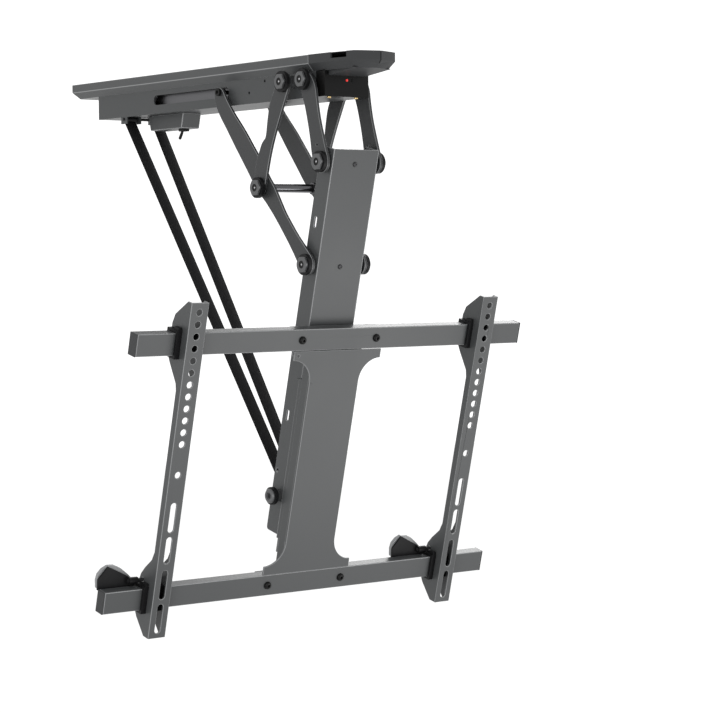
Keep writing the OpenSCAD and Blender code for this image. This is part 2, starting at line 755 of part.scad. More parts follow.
// Bolts of the open pivot: they ride with the front links and stop short of the mast wall.
module top_pivots() {
    color("Silver") both_sides() {
        pivot_stack(top_pivot, wall_face + side_gap * half, arm_outer, pivot_head);
        ring_x(wall_face + side_gap * half, arm_inner - side_gap * half, top_pivot, bush_diameter, pivot_bolt - cover_wall * half);
    }
}

module top_washers() {
    color("Black") both_sides() pivot_washer(top_pivot, arm_outer, washer_diameter);
}

// Mast

module mast_channel() {
    outer = mast_width / 2;
    color("DimGray") on_mast() difference() {
        union() {
            side_plate(-outer, outer) mast_side();
            // the front web runs on below the side walls
            span([-outer, mast_front, -web_foot], [outer, mast_front + mast_wall, -mast_foot + cut]);
        }
        span([-outer + mast_wall, mast_front + mast_wall, -web_foot - cut], [outer - mast_wall, mast_back + cut, mast_top + cut]);
        // bores of the lower pivot and the strap axle
        for (v = [mast_pivot_span, axle_drop])
            bar_x(-outer - cut, outer + cut, [0, -v], pivot_bolt + 2 * bolt_gap);
        // slots and holes of the side walls
        for (v = [axle_drop * 0.178, axle_drop * 0.757])
            side_plate(-outer - cut, outer + cut)
                slot([mast_wall * 2, -v + mast_wall * 2], [mast_wall * 2, -v - mast_wall * 2], mast_wall * 1.8);
        for (v = [axle_drop * 0.575, axle_drop * 0.929])
            bar_x(-outer - cut, outer + cut, [mast_depth * 0.36, -v], pivot_bolt * 0.5);
        // screw holes in the front web
        for (v = [0, mast_pivot_span])
            translate([0, mast_front - cut, -v]) rotate([-90, 0, 0]) cylinder(d = pivot_bolt * 0.5, h = mast_wall + 2 * cut);
    }
}

// Side view of the mast, with its rounded foot.
module mast_side() {
    foot_radius = mast_depth * 0.15;
    difference() {
        translate([mast_front, -mast_foot]) square([mast_depth, mast_foot + mast_top]);
        translate([mast_back - foot_radius, -mast_foot + foot_radius]) difference() {
            translate([0, -foot_radius - cut]) square([foot_radius + cut, foot_radius + cut]);
            circle(r = foot_radius);
        }
        translate([mast_back - foot_radius, mast_top - foot_radius]) difference() {
            square([foot_radius + cut, foot_radius + cut]);
            circle(r = foot_radius);
        }
    }
}

module mast_pivots() {
    at = [0, -mast_pivot_span];
    color("Silver") on_mast() both_sides() {
        pivot_stack(at, mast_width / 2 - mast_wall - link_thickness, arm_outer, pivot_head);
        ring_x(mast_width / 2 + seat_gap * half, arm_inner - side_gap * half, at, bush_diameter, pivot_bolt - cover_wall * half);
    }
}

module mast_washers() {
    color("Black") on_mast() both_sides() {
        pivot_washer([0, -mast_pivot_span], arm_outer, washer_diameter);
        pivot_washer([0, -axle_drop], axle_face, washer_diameter * 0.86);
    }
}

module mast_screws() {
    head = screw_head * 0.68;
    color("Silver") on_mast() for (v = [0, mast_pivot_span]) {
        translate([0, mast_front - mast_wall, -v]) rotate([-90, 0, 0]) cylinder(d = head, h = mast_wall);
        translate([0, mast_front - cover_wall * half, -v]) rotate([-90, 0, 0]) cylinder(d = head * half, h = mast_wall + cover_wall);
    }
}

// Axle across the mast foot that anchors both straps.
axle_face = mast_width / 2 + link_thickness * 2;
module strap_axle() {
    inner = mast_width / 2 - mast_wall - seat_gap;
    at = [0, -axle_drop];
    color("Silver") on_mast() both_sides() {
        pivot_stack(at, -strap_offset, axle_face, fixed_head * 0.9);
        ring_x(mast_width / 2 + seat_gap * half, axle_face, at, bush_diameter, pivot_bolt - cover_wall * half);
        ring_x(strap_offset - strap_width / 2, min(strap_offset + strap_width / 2, inner), at, anchor_sleeve, pivot_bolt - cover_wall * half);
    }
}

// One strap from its roller to the sleeve on the mast axle.
module strap(side) {
    top_gap = roller_diameter * 0.4 + seat_gap;
    foot_gap = anchor_sleeve / 2 + seat_gap;
    color("Black") translate([side * strap_offset, roller_y, roller_z])
        rotate([-strap_lean, 0, 0])
            translate([-strap_width / 2, -strap_thickness * half, -strap_run + foot_gap])
                cube([strap_width, strap_thickness, strap_run - top_gap - foot_gap]);
}

module strap_left() { strap(-1); }

module strap_right() { strap(1); }

// Flared spine plate with return flanges, and tabs behind both rails.
// Front view of the spine plate, drawn inward by a distance.
module spine_outline(inset) {
    waist = spine_waist / 2 - inset;
    wide = spine_flare / 2 - inset;
    r = min(flare_radius, (spine_flare - spine_waist) / 2);
    difference() {
        translate([-wide, -spine_foot + inset]) square([2 * wide, spine_foot - spine_top - 2 * inset]);
        for (s = [-1, 1]) {
            // straight waist between the two flares
            translate([s * (waist + spine_flare / 2) - spine_flare / 2, -spine_foot + flare_edge + r])
                square([spine_flare, spine_foot - spine_top - 2 * (flare_edge + r)]);
            for (v = [spine_top + flare_edge + r, spine_foot - flare_edge - r])
                translate([s * (spine_waist / 2 + r), -v]) circle(r = r + inset);
        }
    }
}

module spine_plate() {
    tab = rail_height;
    half_flare = spine_flare / 2;
    color("Gray") on_mast() difference() {
        union() {
            translate([0, spine_front + spine_wall, 0]) rotate([90, 0, 0]) linear_extrude(spine_wall) spine_outline(0);
            // flange all round, back to the mast
            translate([0, mast_front, 0]) rotate([90, 0, 0]) linear_extrude(mast_front - spine_front) difference() {
                spine_outline(0);
                spine_outline(spine_wall);
            }
            // tabs behind the rails
            span([-half_flare, rail_back, -spine_top - spine_wall], [half_flare, rail_back + spine_wall, -spine_top + tab]);
            span([-half_flare, rail_back, -spine_foot - tab], [half_flare, rail_back + spine_wall, -spine_foot + spine_wall]);
            both_sides() span([mast_width * 0.3, rail_back, -spine_top - rail_height], [mast_width * 0.3 + spine_wall, mast_front, -spine_top + tab * 0.8]);
        }
        for (v = [upper_rail_drop, lower_rail_drop], s = [-1, 1])
            translate([s * rail_screw_offset, rail_back - cut, -v - rail_height / 2]) rotate([-90, 0, 0])
                cylinder(d = screw_shank + 2 * bolt_gap, h = spine_wall + 2 * cut);
        // small hole in the upper corner
        translate([-half_flare + spine_wall * 3, spine_front - cut, -spine_top - flare_edge * half]) rotate([-90, 0, 0])
            cylinder(d = screw_shank * 0.8, h = spine_wall + 2 * cut);
    }
}
screw_shank = screw_head * half;

module tv_rail(drop) {
    color("DimGray") on_mast() difference() {
        span([-rail_length / 2, rail_front, -drop - rail_height], [rail_length / 2, rail_back, -drop]);
        span([-rail_length / 2 - cut, rail_front + rail_wall, -drop - rail_height + rail_wall],
            [rail_length / 2 + cut, rail_back - rail_wall, -drop - rail_wall]);
        for (s = [-1, 1])
            translate([s * rail_screw_offset, rail_front - cut, -drop - rail_height / 2]) rotate([-90, 0, 0])
                cylinder(d = screw_shank + 2 * bolt_gap, h = rail_depth + 2 * cut);
    }
}

module upper_rail() { tv_rail(upper_rail_drop); }

module lower_rail() { tv_rail(lower_rail_drop); }

module rail_end_caps() {
    plug = rail_height * half;
    face = rail_wall;
    color("Black") on_mast() for (drop = [upper_rail_drop, lower_rail_drop]) both_sides() {
        span([rail_length / 2, rail_front, -drop - rail_height], [rail_length / 2 + face, rail_back, -drop]);
        span([rail_length / 2 - plug, rail_front + rail_wall + seat_gap, -drop - rail_height + rail_wall + seat_gap],
            [rail_length / 2, rail_back - rail_wall - seat_gap, -drop - rail_wall - seat_gap]);
    }
}

module rail_screws() {
    color("Silver") on_mast() for (v = [upper_rail_drop, lower_rail_drop], s = [-1, 1])
        translate([s * rail_screw_offset, 0, -v - rail_height / 2]) {
            translate([0, rail_front - rail_wall * 1.3, 0]) rotate([-90, 0, 0]) cylinder(d = screw_head, h = rail_wall * 1.3);
            translate([0, rail_front, 0]) rotate([-90, 0, 0]) cylinder(d = screw_shank, h = rail_depth + spine_wall * 1.5);
        }
}

// TV arms

// Side view of one flange: shallow between the rails, deep where a rail passes.
module flange_side() {
    ear_back = web_front + ear_depth;
    thin = web_front + flange_depth;
    top = -tv_arm_drop;
    foot = -tv_arm_foot;
    up = -upper_rail_drop;
    low = -lower_rail_drop;
    step = ear_depth - flange_depth;
    difference() {
        polygon([
            [web_front, top], [thin - flange_depth * 0.2, top],
            [ear_back - step * 0.15, up + rail_height * 0.7], [ear_back, up + rail_height * 0.3],
            [ear_back, up - rail_height * 1.2], [ear_back - step * 0.2, up - rail_height * 1.45],
            [thin + step * 0.38, up - rail_height * 1.9], [thin + step * 0.1, up - rail_height * 2.2],
            [thin, up - rail_height * 2.5],
            [thin, low + rail_height * 1.75], [thin + step * 0.15, low + rail_height * 1.35],
            [thin + step * 0.62, low + rail_height * 0.87], [ear_back - step * 0.1, low + rail_height * 0.5],
            [ear_back, low + rail_height * 0.2],
            [ear_back, low - rail_height * 1.3], [ear_back - step * 0.15, low - rail_height * 1.5],
            [thin + flange_depth * 0.1, foot], [web_front, foot]]);
        for (v = [upper_rail_drop, lower_rail_drop])
            translate([rail_front - slide_gap - liner_wall - seat_gap, -v - rail_height - slide_gap - liner_wall - seat_gap])
                square([window_depth, window_height]);
    }
}

module tv_arm() {
    hw = tv_arm_width / 2;
    hole_row = 12;
    color("DimGray") difference() {
        union() {
            both_sides() side_plate(hw - tv_arm_wall, hw) flange_side();
            span([-hw, web_front, -tv_arm_foot], [hw, web_front + tv_arm_wall, -tv_arm_drop]);
        }
        bar_x(-tv_arm_width, tv_arm_width, lever_pivot, lever_pin + 2 * bolt_gap);
        translate([0, web_front + tv_arm_wall + cut, -tv_arm_drop]) rotate([90, 0, 0]) linear_extrude(tv_arm_wall + 2 * cut) {
            for (i = [0:hole_row - 1])
                translate([0, -first_hole - i * tv_hole_pitch]) circle(d = tv_hole);
            translate([0, -first_hole - tv_hole_pitch * 13.6]) circle(d = tv_hole);
            for (s = slot_shares)
                slot([0, -s[0] * tv_arm_length - tv_hole / 2], [0, -s[1] * tv_arm_length + tv_hole / 2], tv_hole);
        }
    }
}
// start and end of each long slot down the arm
slot_shares = [[0.589, 0.678], [0.692, 0.772], [0.793, 0.881], [0.896, 0.985]];

module tv_arm_left() { on_mast() translate([-tv_arm_offset, 0, 0]) tv_arm(); }

module tv_arm_right() { on_mast() translate([tv_arm_offset, 0, 0]) tv_arm(); }

// Plastic sleeves that line the two windows of an arm, with a thicker collar on each side of it.
liner_end = tv_arm_width / 2 + collar_reach;
module liners() {
    flange = tv_arm_width / 2 + seat_gap;
    front = rail_front - slide_gap - liner_wall;
    back = rail_back + slide_gap + liner_wall;
    grow = liner_wall * 0.7;
    color("Black") for (v = [upper_rail_drop, lower_rail_drop]) difference() {
        union() {
            span([-liner_end, front, -v - rail_height - slide_gap - liner_wall], [liner_end, back, -v + slide_gap + liner_wall]);
            both_sides() {
                span([flange, front - grow, -v - rail_height - slide_gap - liner_wall - grow], [liner_end, back + grow, -v + slide_gap + liner_wall + grow]);
                // raised grip on the front half of the collar
                span([flange + grow, front - grow, -v], [liner_end - grow, (rail_front + rail_back) / 2 - liner_wall, -v + liner_wall * 4]);
            }
        }
        span([-liner_end - cut, rail_front - slide_gap, -v - rail_height - slide_gap], [liner_end + cut, rail_back + slide_gap, -v + slide_gap]);
    }
}

module liners_left() { on_mast() translate([-tv_arm_offset, 0, 0]) liners(); }

module liners_right() { on_mast() translate([tv_arm_offset, 0, 0]) liners(); }

// Moulded wing lever that locks an arm on the lower rail: it turns on a pin through the ear.
lever_pin = pivot_bolt * half;
lever_hub = lever_rise + lever_rise * 0.15;
lever_pivot = [rail_front + rail_depth * 0.85, -lower_rail_drop + lever_rise];
// outline of the wing, as shares of the lever's length and of its height above the rail
lever_wing_share = [
    [0, -0.1], [0, 0.3], [0.17, 0.31], [0.28, 0.55], [0.42, 0.78], [0.56, 0.93],
    [0.78, 1], [0.91, 0.77], [1, 0.57], [0.98, 0.35], [0.93, 0.06], [0.86, -0.08]];
module lock_lever() {
    root = -liner_end - seat_gap;
    wing_front = rail_back + slide_gap;
    color("Black") difference() {
        union() {
            // hub round the pin
            bar_x(root - lever_length * 0.24, root, lever_pivot, lever_hub);
            // wing behind the rail
            translate([0, wing_front + liner_wall * 2, -lower_rail_drop]) rotate([90, 0, 0]) linear_extrude(liner_wall * 2)
                intersection() {
                    polygon(smooth_loop([for (s = lever_wing_share) [root - s[0] * lever_length, s[1] * rail_height]]));
                    translate([root - 2 * lever_length, slide_gap]) square([2 * lever_length, 3 * rail_height]);
                }
            // web from the hub down to the wing
            span([root - lever_length * 0.2, lever_pivot[0], lever_pivot[1] - lever_hub * 0.3], [root - lever_length * 0.04, wing_front + liner_wall, lever_pivot[1] + lever_hub * 0.3]);
        }
        bar_x(-liner_end - lever_length, root + cut, lever_pivot, lever_pin + 2 * bolt_gap);
    }
}

// Pin of the lock lever, held in both flanges of the arm.
module lever_pin_bar() {
    flange = tv_arm_width / 2;
    color("Silver") {
        bar_x(-liner_end - seat_gap - lever_length * 0.24, flange + seat_gap, lever_pivot, lever_pin);
        bar_x(flange + seat_gap * half, flange + liner_wall, lever_pivot, lever_pin * 1.8);
    }
}

module lever_pin_left() { on_mast() translate([-tv_arm_offset, 0, 0]) lever_pin_bar(); }

module lever_pin_right() { on_mast() translate([tv_arm_offset, 0, 0]) lever_pin_bar(); }

module lock_lever_left() { on_mast() translate([-tv_arm_offset, 0, 0]) lock_lever(); }

module lock_lever_right() { on_mast() translate([tv_arm_offset, 0, 0]) lock_lever(); }

ceiling_plate();
cover_skirt();
cover_nose();
channel();
front_cap();
led_lens();
ir_window();
guide_rails();
drive_motor();
gearbox();
power_supply();
winch_bearings();
winch_spool();
roller_bracket();
strap_rollers();
control_box();
antenna();
plate_screws();
fixed_pivots();
fixed_washers();
lift_links();
cross_rod();
long_arms();
middle_pivots();
middle_washers();
slider_bolts();
front_links();
top_pivots();
top_washers();
mast_channel();
mast_pivots();
mast_washers();
mast_screws();
strap_axle();
strap_left();
strap_right();
spine_plate();
upper_rail();
lower_rail();
rail_end_caps();
rail_screws();
tv_arm_left();
tv_arm_right();
liners_left();
liners_right();
lock_lever_left();
lock_lever_right();
lever_pin_left();
lever_pin_right();
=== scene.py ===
# %% [markdown]
# # Motorised ceiling mount for a television
# The construction comes in as a frame of named parts that already ride on their joints.
# The parts keep their shapes. Here they get softened edges and a finish each.
# Then come pieces made here, some in place of a plainer part: recessed screws, hexagonal nuts,
# the spine's walls, lock levers, a housing, an aerial, two black plates of painted shade and the stitched
# straps.

import json
import math

import bmesh
import bpy
from mathutils import Matrix, Vector


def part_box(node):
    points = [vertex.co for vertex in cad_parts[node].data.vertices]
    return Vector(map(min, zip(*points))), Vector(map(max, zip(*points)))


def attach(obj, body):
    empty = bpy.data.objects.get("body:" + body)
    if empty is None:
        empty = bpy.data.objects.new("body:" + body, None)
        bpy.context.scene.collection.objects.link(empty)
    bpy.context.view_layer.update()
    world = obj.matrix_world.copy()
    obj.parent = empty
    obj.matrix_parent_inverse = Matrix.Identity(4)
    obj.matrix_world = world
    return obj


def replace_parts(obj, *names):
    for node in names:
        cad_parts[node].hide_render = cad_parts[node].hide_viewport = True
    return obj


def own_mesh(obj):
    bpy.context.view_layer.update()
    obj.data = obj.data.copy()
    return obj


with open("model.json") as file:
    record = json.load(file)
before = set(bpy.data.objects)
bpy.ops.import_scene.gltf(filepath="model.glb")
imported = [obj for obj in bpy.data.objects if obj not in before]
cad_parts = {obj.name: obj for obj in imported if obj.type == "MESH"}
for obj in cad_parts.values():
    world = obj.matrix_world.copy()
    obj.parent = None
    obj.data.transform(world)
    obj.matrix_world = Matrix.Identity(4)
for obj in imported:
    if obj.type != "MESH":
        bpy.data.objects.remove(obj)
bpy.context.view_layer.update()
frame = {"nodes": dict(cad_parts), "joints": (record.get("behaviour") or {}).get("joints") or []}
nodes = frame["nodes"]
joints = {j["name"]: j for j in frame["joints"]}

# %% [markdown]
# ## Places
# Most places come from the frame: joint positions, and the boxes of the parts.
# The mast leans, so its fittings are placed in the mast's own frame and turned into the room's.
# Lengths are in metres, but distances on the mast and the widths of rounded edges in millimetres.

# %% Places on the frame
MM = 0.001
MAST_LEAN = math.radians(14.3)


def middle(name):
    """Centre of a part's box at rest."""
    low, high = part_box(name)
    return (Vector(low) + Vector(high)) / 2


def joint_at(name):
    """The point a joint turns about."""
    return Vector(joints[name]["pos_m"])


TOP_PIVOT = Vector((0, middle("top_pivots").y, middle("top_pivots").z))
STRAP_TOP = joint_at("strap_swing")
AXLE = Vector((0, middle("strap_axle").y, middle("strap_axle").z))
SPOOL = joint_at("winch_spin")
MAST = Matrix.Translation(TOP_PIVOT) @ Matrix.Rotation(MAST_LEAN, 4, "X")


def on_mast(x, forward, down):
    """A point of the mast in millimetres: across, towards the screen, and down from the top pivot."""
    return MAST @ Vector((x * MM, -forward * MM, -down * MM))


FORWARD = (MAST.to_3x3() @ Vector((0, -1, 0))).normalized()
DOWN = Vector((0, 0, -1))
STRAP_RUN = (AXLE - STRAP_TOP).normalized()
STRAP_X = 0.024

# %% [markdown]
# ## Building finishes from sums
# A small class lets shader sockets be added and multiplied like numbers.
# One method makes any shader node, so a finish reads as a short recipe.


# %% Shader arithmetic
class Value:
    """A shader output that can be used in sums."""

    def __init__(self, finish, socket):
        self.finish = finish
        self.socket = socket

    def _math(self, operation, *others):
        return self.finish.node("ShaderNodeMath", (self, *others), operation=operation)

    def __add__(self, other):
        return self._math("ADD", other)

    def __sub__(self, other):
        return self._math("SUBTRACT", other)

    def __mul__(self, other):
        return self._math("MULTIPLY", other)

    def sine(self):
        return self._math("SINE")

    def absolute(self):
        return self._math("ABSOLUTE")


class Finish:
    """A material under construction."""

    def __init__(self, name, colour, roughness, metallic=0.0):
        self.material = bpy.data.materials.new(name)
        self.material.use_nodes = True
        self.tree = self.material.node_tree
        self.shader = next(n for n in self.tree.nodes if n.type == "BSDF_PRINCIPLED")
        self.set("Base Color", (*colour, 1.0))
        self.set("Roughness", roughness)
        self.set("Metallic", metallic)
        self.material.diffuse_color = (*colour, 1.0)
        self.place = Value(self, self.tree.nodes.new("ShaderNodeTexCoord").outputs["Object"])

    def set(self, socket, value):
        """Sets an input of the main shader, to a number, a colour or a Value."""
        target = self.shader.inputs[socket]
        if isinstance(value, Value):
            self.tree.links.new(value.socket, target)
        else:
            target.default_value = value

    def node(self, kind, inputs=(), output=0, **settings):
        """Adds a node of a kind, links or fills its inputs, and gives one output."""
        made = self.tree.nodes.new(kind)
        for key, value in settings.items():
            setattr(made, key, value)
        pairs = inputs.items() if isinstance(inputs, dict) else enumerate(inputs)
        for key, value in pairs:
            if isinstance(value, Value):
                self.tree.links.new(value.socket, made.inputs[key])
            else:
                made.inputs[key].default_value = value
        return Value(self, made.outputs[output])

    def noise(self, scale, detail=2.0):
        return self.node("ShaderNodeTexNoise", {"Vector": self.place, "Scale": scale, "Detail": detail})

    def along(self, direction):
        """Distance along a direction, over the object."""
        inputs = (self.place, tuple(direction))
        return self.node("ShaderNodeVectorMath", inputs, output="Value", operation="DOT_PRODUCT")

    def tint(self, low, high, factor):
        """The base colour between two colours. For colours the node uses inputs 6 and 7 and output 2."""
        mix = self.tree.nodes.new("ShaderNodeMix")
        mix.data_type = "RGBA"
        self.tree.links.new(factor.socket, mix.inputs[0])
        mix.inputs[6].default_value = (*low, 1.0)
        mix.inputs[7].default_value = (*high, 1.0)
        self.set("Base Color", Value(self, mix.outputs[2]))

    def bump(self, height, strength, distance):
        inputs = {"Height": height, "Strength": strength, "Distance": distance}
        self.set("Normal", self.node("ShaderNodeBump", inputs))


def shade(colour, factor):
    """A colour made lighter or darker."""
    return tuple(min(1.0, c * factor) for c in colour)


# %% [markdown]
# ## The finishes
# Powder coat is a fine grain under a slow drift of tone.
# Moulded plastic has a coarser, softer grain, and turned metal has rings across its axis.


# %% Finish recipes
ACROSS = (1, 0, 0)
FULL_TURN = 2 * math.pi
GRAIN_DEPTH = 0.0002
LINE_DEPTH = 0.0001
RIB_DEPTH = 0.0003
RING_PITCH = 0.0012
RIB_PITCH = 0.0022
DULL_SHEEN = 0.12


def powder_coat(name, colour, roughness=0.42, grain=0.10, sheen=0.3):
    f = Finish(name, colour, roughness)
    f.set("Specular IOR Level", sheen)
    slow = f.noise(scale=9.0, detail=3.0)
    fine = f.noise(scale=1300.0, detail=1.0)
    f.tint(shade(colour, 0.93), shade(colour, 1.07), slow)
    f.set("Roughness", slow * 0.10 + (roughness - 0.05))
    f.bump(fine, strength=grain, distance=GRAIN_DEPTH)
    return f.material


def moulded(name, colour, roughness=0.5, grain=0.12, sheen=0.3):
    f = Finish(name, colour, roughness)
    f.set("Specular IOR Level", sheen)
    slow = f.noise(scale=14.0, detail=2.0)
    fine = f.noise(scale=700.0, detail=2.0)
    f.tint(shade(colour, 0.9), shade(colour, 1.1), slow)
    f.set("Roughness", fine * 0.08 + (roughness - 0.04))
    f.bump(fine, strength=grain, distance=GRAIN_DEPTH)
    return f.material


def polished(name, colour, roughness=0.3):
    f = Finish(name, colour, roughness)
    f.set("Specular IOR Level", DULL_SHEEN)
    slow = f.noise(scale=30.0, detail=2.0)
    f.tint(shade(colour, 0.9), shade(colour, 1.15), slow)
    f.set("Roughness", slow * 0.06 + roughness)
    return f.material


def turned(name, colour, roughness=0.32, metallic=1.0):
    f = Finish(name, colour, roughness, metallic=metallic)
    rings = (f.along(ACROSS) * (FULL_TURN / RING_PITCH)).sine()
    slow = f.noise(scale=40.0, detail=3.0)
    f.tint(shade(colour, 0.85), shade(colour, 1.1), slow)
    f.set("Roughness", slow * 0.12 + (roughness - 0.06))
    f.bump(rings, strength=0.05, distance=LINE_DEPTH)
    return f.material


def extruded(name, colour):
    """Fine lines along the rail, from noise that is stretched along Y."""
    f = Finish(name, colour, roughness=0.35, metallic=1.0)
    stretch = (900.0, 4.0, 900.0)
    stretched = f.node("ShaderNodeVectorMath", (f.place, stretch), operation="MULTIPLY")
    lines = f.node("ShaderNodeTexNoise", {"Vector": stretched, "Scale": 1.0, "Detail": 2.0})
    f.tint(shade(colour, 0.9), shade(colour, 1.05), lines)
    f.set("Roughness", lines * 0.15 + 0.28)
    f.bump(lines, strength=0.08, distance=LINE_DEPTH)
    return f.material


def webbing(name, colour, direction):
    """Woven band: a herringbone of diagonal ribs that turns at the middle of the band by its roller."""
    f = Finish(name, colour, roughness=0.8)
    f.set("Specular IOR Level", DULL_SHEEN)
    run = f.along(direction)
    across = (f.along(ACROSS).absolute() - STRAP_X).absolute()
    ribs = ((run + across) * (FULL_TURN / RIB_PITCH)).sine()
    fibres = f.noise(scale=2600.0, detail=2.0)
    f.tint(shade(colour, 0.55), shade(colour, 1.5), ribs * 0.4 + fibres * 0.4 + 0.1)
    f.set("Roughness", fibres * 0.2 + 0.66)
    f.bump(ribs * 0.7 + fibres * 0.5, strength=0.55, distance=RIB_DEPTH)
    return f.material


def circuit(name):
    f = Finish(name, (0.02, 0.12, 0.05), roughness=0.45)
    cells = f.node("ShaderNodeTexVoronoi", {"Vector": f.place, "Scale": 220.0})
    f.tint((0.015, 0.09, 0.04), (0.03, 0.2, 0.08), cells)
    f.set("Roughness", cells * 0.2 + 0.35)
    return f.material


def lamp(name, colour):
    f = Finish(name, colour, roughness=0.25)
    spread = f.noise(scale=900.0, detail=1.0)
    f.tint(shade(colour, 0.8), shade(colour, 1.2), spread)
    f.set("Emission Color", (*colour, 1.0))
    f.set("Emission Strength", 0.6)
    f.set("Roughness", spread * 0.1 + 0.2)
    return f.material


finish = {
    "cover": powder_coat("cover coat", (0.044, 0.046, 0.047), roughness=0.40),
    "nose": moulded("nose moulding", (0.026, 0.027, 0.028), roughness=0.52, sheen=0.2),
    "body": powder_coat("mount coat", (0.040, 0.042, 0.043), roughness=0.40),
    "link": powder_coat("link coat", (0.022, 0.023, 0.024)),
    "dark": powder_coat("channel coat", (0.034, 0.036, 0.037)),
    # a lighter coat for rounded edges and the lever shells: painted highlight
    "edge": powder_coat("rubbed edge", (0.15, 0.153, 0.156), roughness=0.25, grain=0.04, sheen=0.6),
    "gloss": polished("cap gloss", (0.004, 0.004, 0.004)),
    "plastic": moulded("black moulding", (0.006, 0.006, 0.0065), roughness=0.45, sheen=DULL_SHEEN),
    "head": turned("pivot head", (0.066, 0.067, 0.069), roughness=0.42, metallic=0.3),
    "bolt": turned("blackened bolt", (0.030, 0.030, 0.032), roughness=0.36, metallic=0.5),
    "steel": turned("zinc steel", (0.45, 0.45, 0.46)),
    "rod": turned("black chrome", (0.09, 0.09, 0.095), roughness=0.16),
    "rail": extruded("guide rail", (0.11, 0.11, 0.115)),
    "brass": turned("plated brass", (0.60, 0.44, 0.20), roughness=0.3),
    "lamp": lamp("red light", (0.5, 0.02, 0.015)),
    "board": circuit("circuit board"),
    "strap": webbing("woven webbing", (0.007, 0.007, 0.0075), STRAP_RUN),
    "thread": moulded("sewing thread", (0.020, 0.020, 0.021), roughness=0.8, grain=0.3, sheen=DULL_SHEEN),
}

# %% [markdown]
# ## Finish and edge of each part
# The frame's own meshes stay as they are. Modifiers on top join the loose faces, smooth the
# round ones and round the edges a little. Where sheet is coated, the rounded edge gets a
# lighter finish: a painted highlight, standing for the light that such edges catch.

# %% Finish each part
part_finish = {
    "ceiling_plate": "steel",
    "cover_skirt": "cover",
    "cover_nose": "nose",
    "channel": "dark",
    "front_cap": "gloss",
    "led_lens": "lamp",
    "ir_window": "gloss",
    "guide_rails": "rail",
    "drive_motor": "steel",
    "gearbox": "rail",
    "power_supply": "board",
    "winch_bearings": "steel",
    "winch_spool": "steel",
    "roller_bracket": "dark",
    "strap_rollers": "plastic",
    "control_box": "dark",
    "antenna": "plastic",
    "plate_screws": "brass",
    "fixed_pivots": "head",
    "fixed_washers": "plastic",
    "lift_links": "link",
    "cross_rod": "rod",
    "long_arms": "link",
    "middle_pivots": "head",
    "middle_washers": "plastic",
    "slider_bolts": "gloss",
    "front_links": "link",
    "top_pivots": "head",
    "top_washers": "plastic",
    "mast_channel": "body",
    "mast_pivots": "head",
    "mast_washers": "plastic",
    "mast_screws": "bolt",
    "strap_axle": "head",
    "strap_left": "strap",
    "strap_right": "strap",
    "spine_plate": "body",
    "upper_rail": "body",
    "lower_rail": "body",
    "rail_end_caps": "nose",
    "rail_screws": "bolt",
    "tv_arm_left": "body",
    "tv_arm_right": "body",
    "liners_left": "plastic",
    "liners_right": "plastic",
    "lock_lever_left": "plastic",
    "lock_lever_right": "plastic",
    "lever_pin_left": "bolt",
    "lever_pin_right": "bolt",
}
# finishes whose rounded edges get the painted highlight
highlight_finishes = ("body", "link", "cover")
wide_fold = ("mast_channel", "upper_rail", "lower_rail", "tv_arm_left", "tv_arm_right")
# in millimetres
edge_width = {
    "cover_skirt": 0.9,
    "cover_nose": 1.2,
    "front_cap": 1.4,
    "channel": 0.8,
    "long_arms": 0.6,
    "lift_links": 0.6,
    "front_links": 0.6,
    "mast_channel": 0.9,
    "upper_rail": 1.0,
    "lower_rail": 1.0,
    "rail_end_caps": 0.5,
    "tv_arm_left": 0.7,
    "tv_arm_right": 0.7,
    "strap_axle": 0.8,
    "slider_bolts": 0.4,
    "cross_rod": 0.5,
}
CRISP_ANGLE = 30
EDGE_ANGLE = 40
FLAT_ANGLE = 0.6
JOIN_DISTANCE = 0.00001
# material slot of the painted highlight on rounded edges
HIGHLIGHT_SLOT = 1


def join_faces(piece):
    """Joins the loose faces of a construction mesh."""
    joined = piece.modifiers.new("joined", "WELD")
    joined.merge_threshold = JOIN_DISTANCE


def clear_flats(piece):
    """Dissolves the triangles of flat faces, so that only true edges get rounded."""
    flat = piece.modifiers.new("planar", "DECIMATE")
    flat.decimate_type = "DISSOLVE"
    flat.angle_limit = math.radians(FLAT_ANGLE)


def round_edges(piece, width, angle, edge_highlight=False, clamp=True, harden=False):
    """Rounds the edges that are sharper than an angle. Width in millimetres, angle in degrees. With the
    highlight flag, the rounded faces take the second material slot: a painted highlight.
    """
    soft = piece.modifiers.new("edge", "BEVEL")
    soft.width = width * MM
    soft.segments = 2
    soft.limit_method = "ANGLE"
    soft.angle_limit = math.radians(angle)
    soft.use_clamp_overlap = clamp
    soft.harden_normals = harden
    if edge_highlight:
        soft.material = HIGHLIGHT_SLOT


def smooth_group():
    """Smooth shading, with the edges that are sharper than an angle kept crisp."""
    group = bpy.data.node_groups.new("Smooth by angle", "GeometryNodeTree")
    group.interface.new_socket("Geometry", in_out="INPUT", socket_type="NodeSocketGeometry")
    sharpest = group.interface.new_socket("Largest angle", in_out="INPUT", socket_type="NodeSocketFloat")
    sharpest.default_value = math.radians(CRISP_ANGLE)
    group.interface.new_socket("Geometry", in_out="OUTPUT", socket_type="NodeSocketGeometry")
    make = group.nodes.new
    link = group.links.new
    given = make("NodeGroupInput")
    soft_faces = make("GeometryNodeSetShadeSmooth")
    angle = make("GeometryNodeInputMeshEdgeAngle")
    sharper = make("FunctionNodeCompare")
    sharper.data_type = "FLOAT"
    sharper.operation = "GREATER_THAN"
    crisp_edges = make("GeometryNodeSetShadeSmooth")
    crisp_edges.domain = "EDGE"
    crisp_edges.inputs["Shade Smooth"].default_value = False
    out = make("NodeGroupOutput")
    link(given.outputs["Geometry"], soft_faces.inputs["Geometry"])
    link(angle.outputs["Unsigned Angle"], sharper.inputs[0])
    link(given.outputs["Largest angle"], sharper.inputs[1])
    link(soft_faces.outputs[0], crisp_edges.inputs["Geometry"])
    link(sharper.outputs[0], crisp_edges.inputs["Selection"])
    link(crisp_edges.outputs[0], out.inputs[0])
    return group


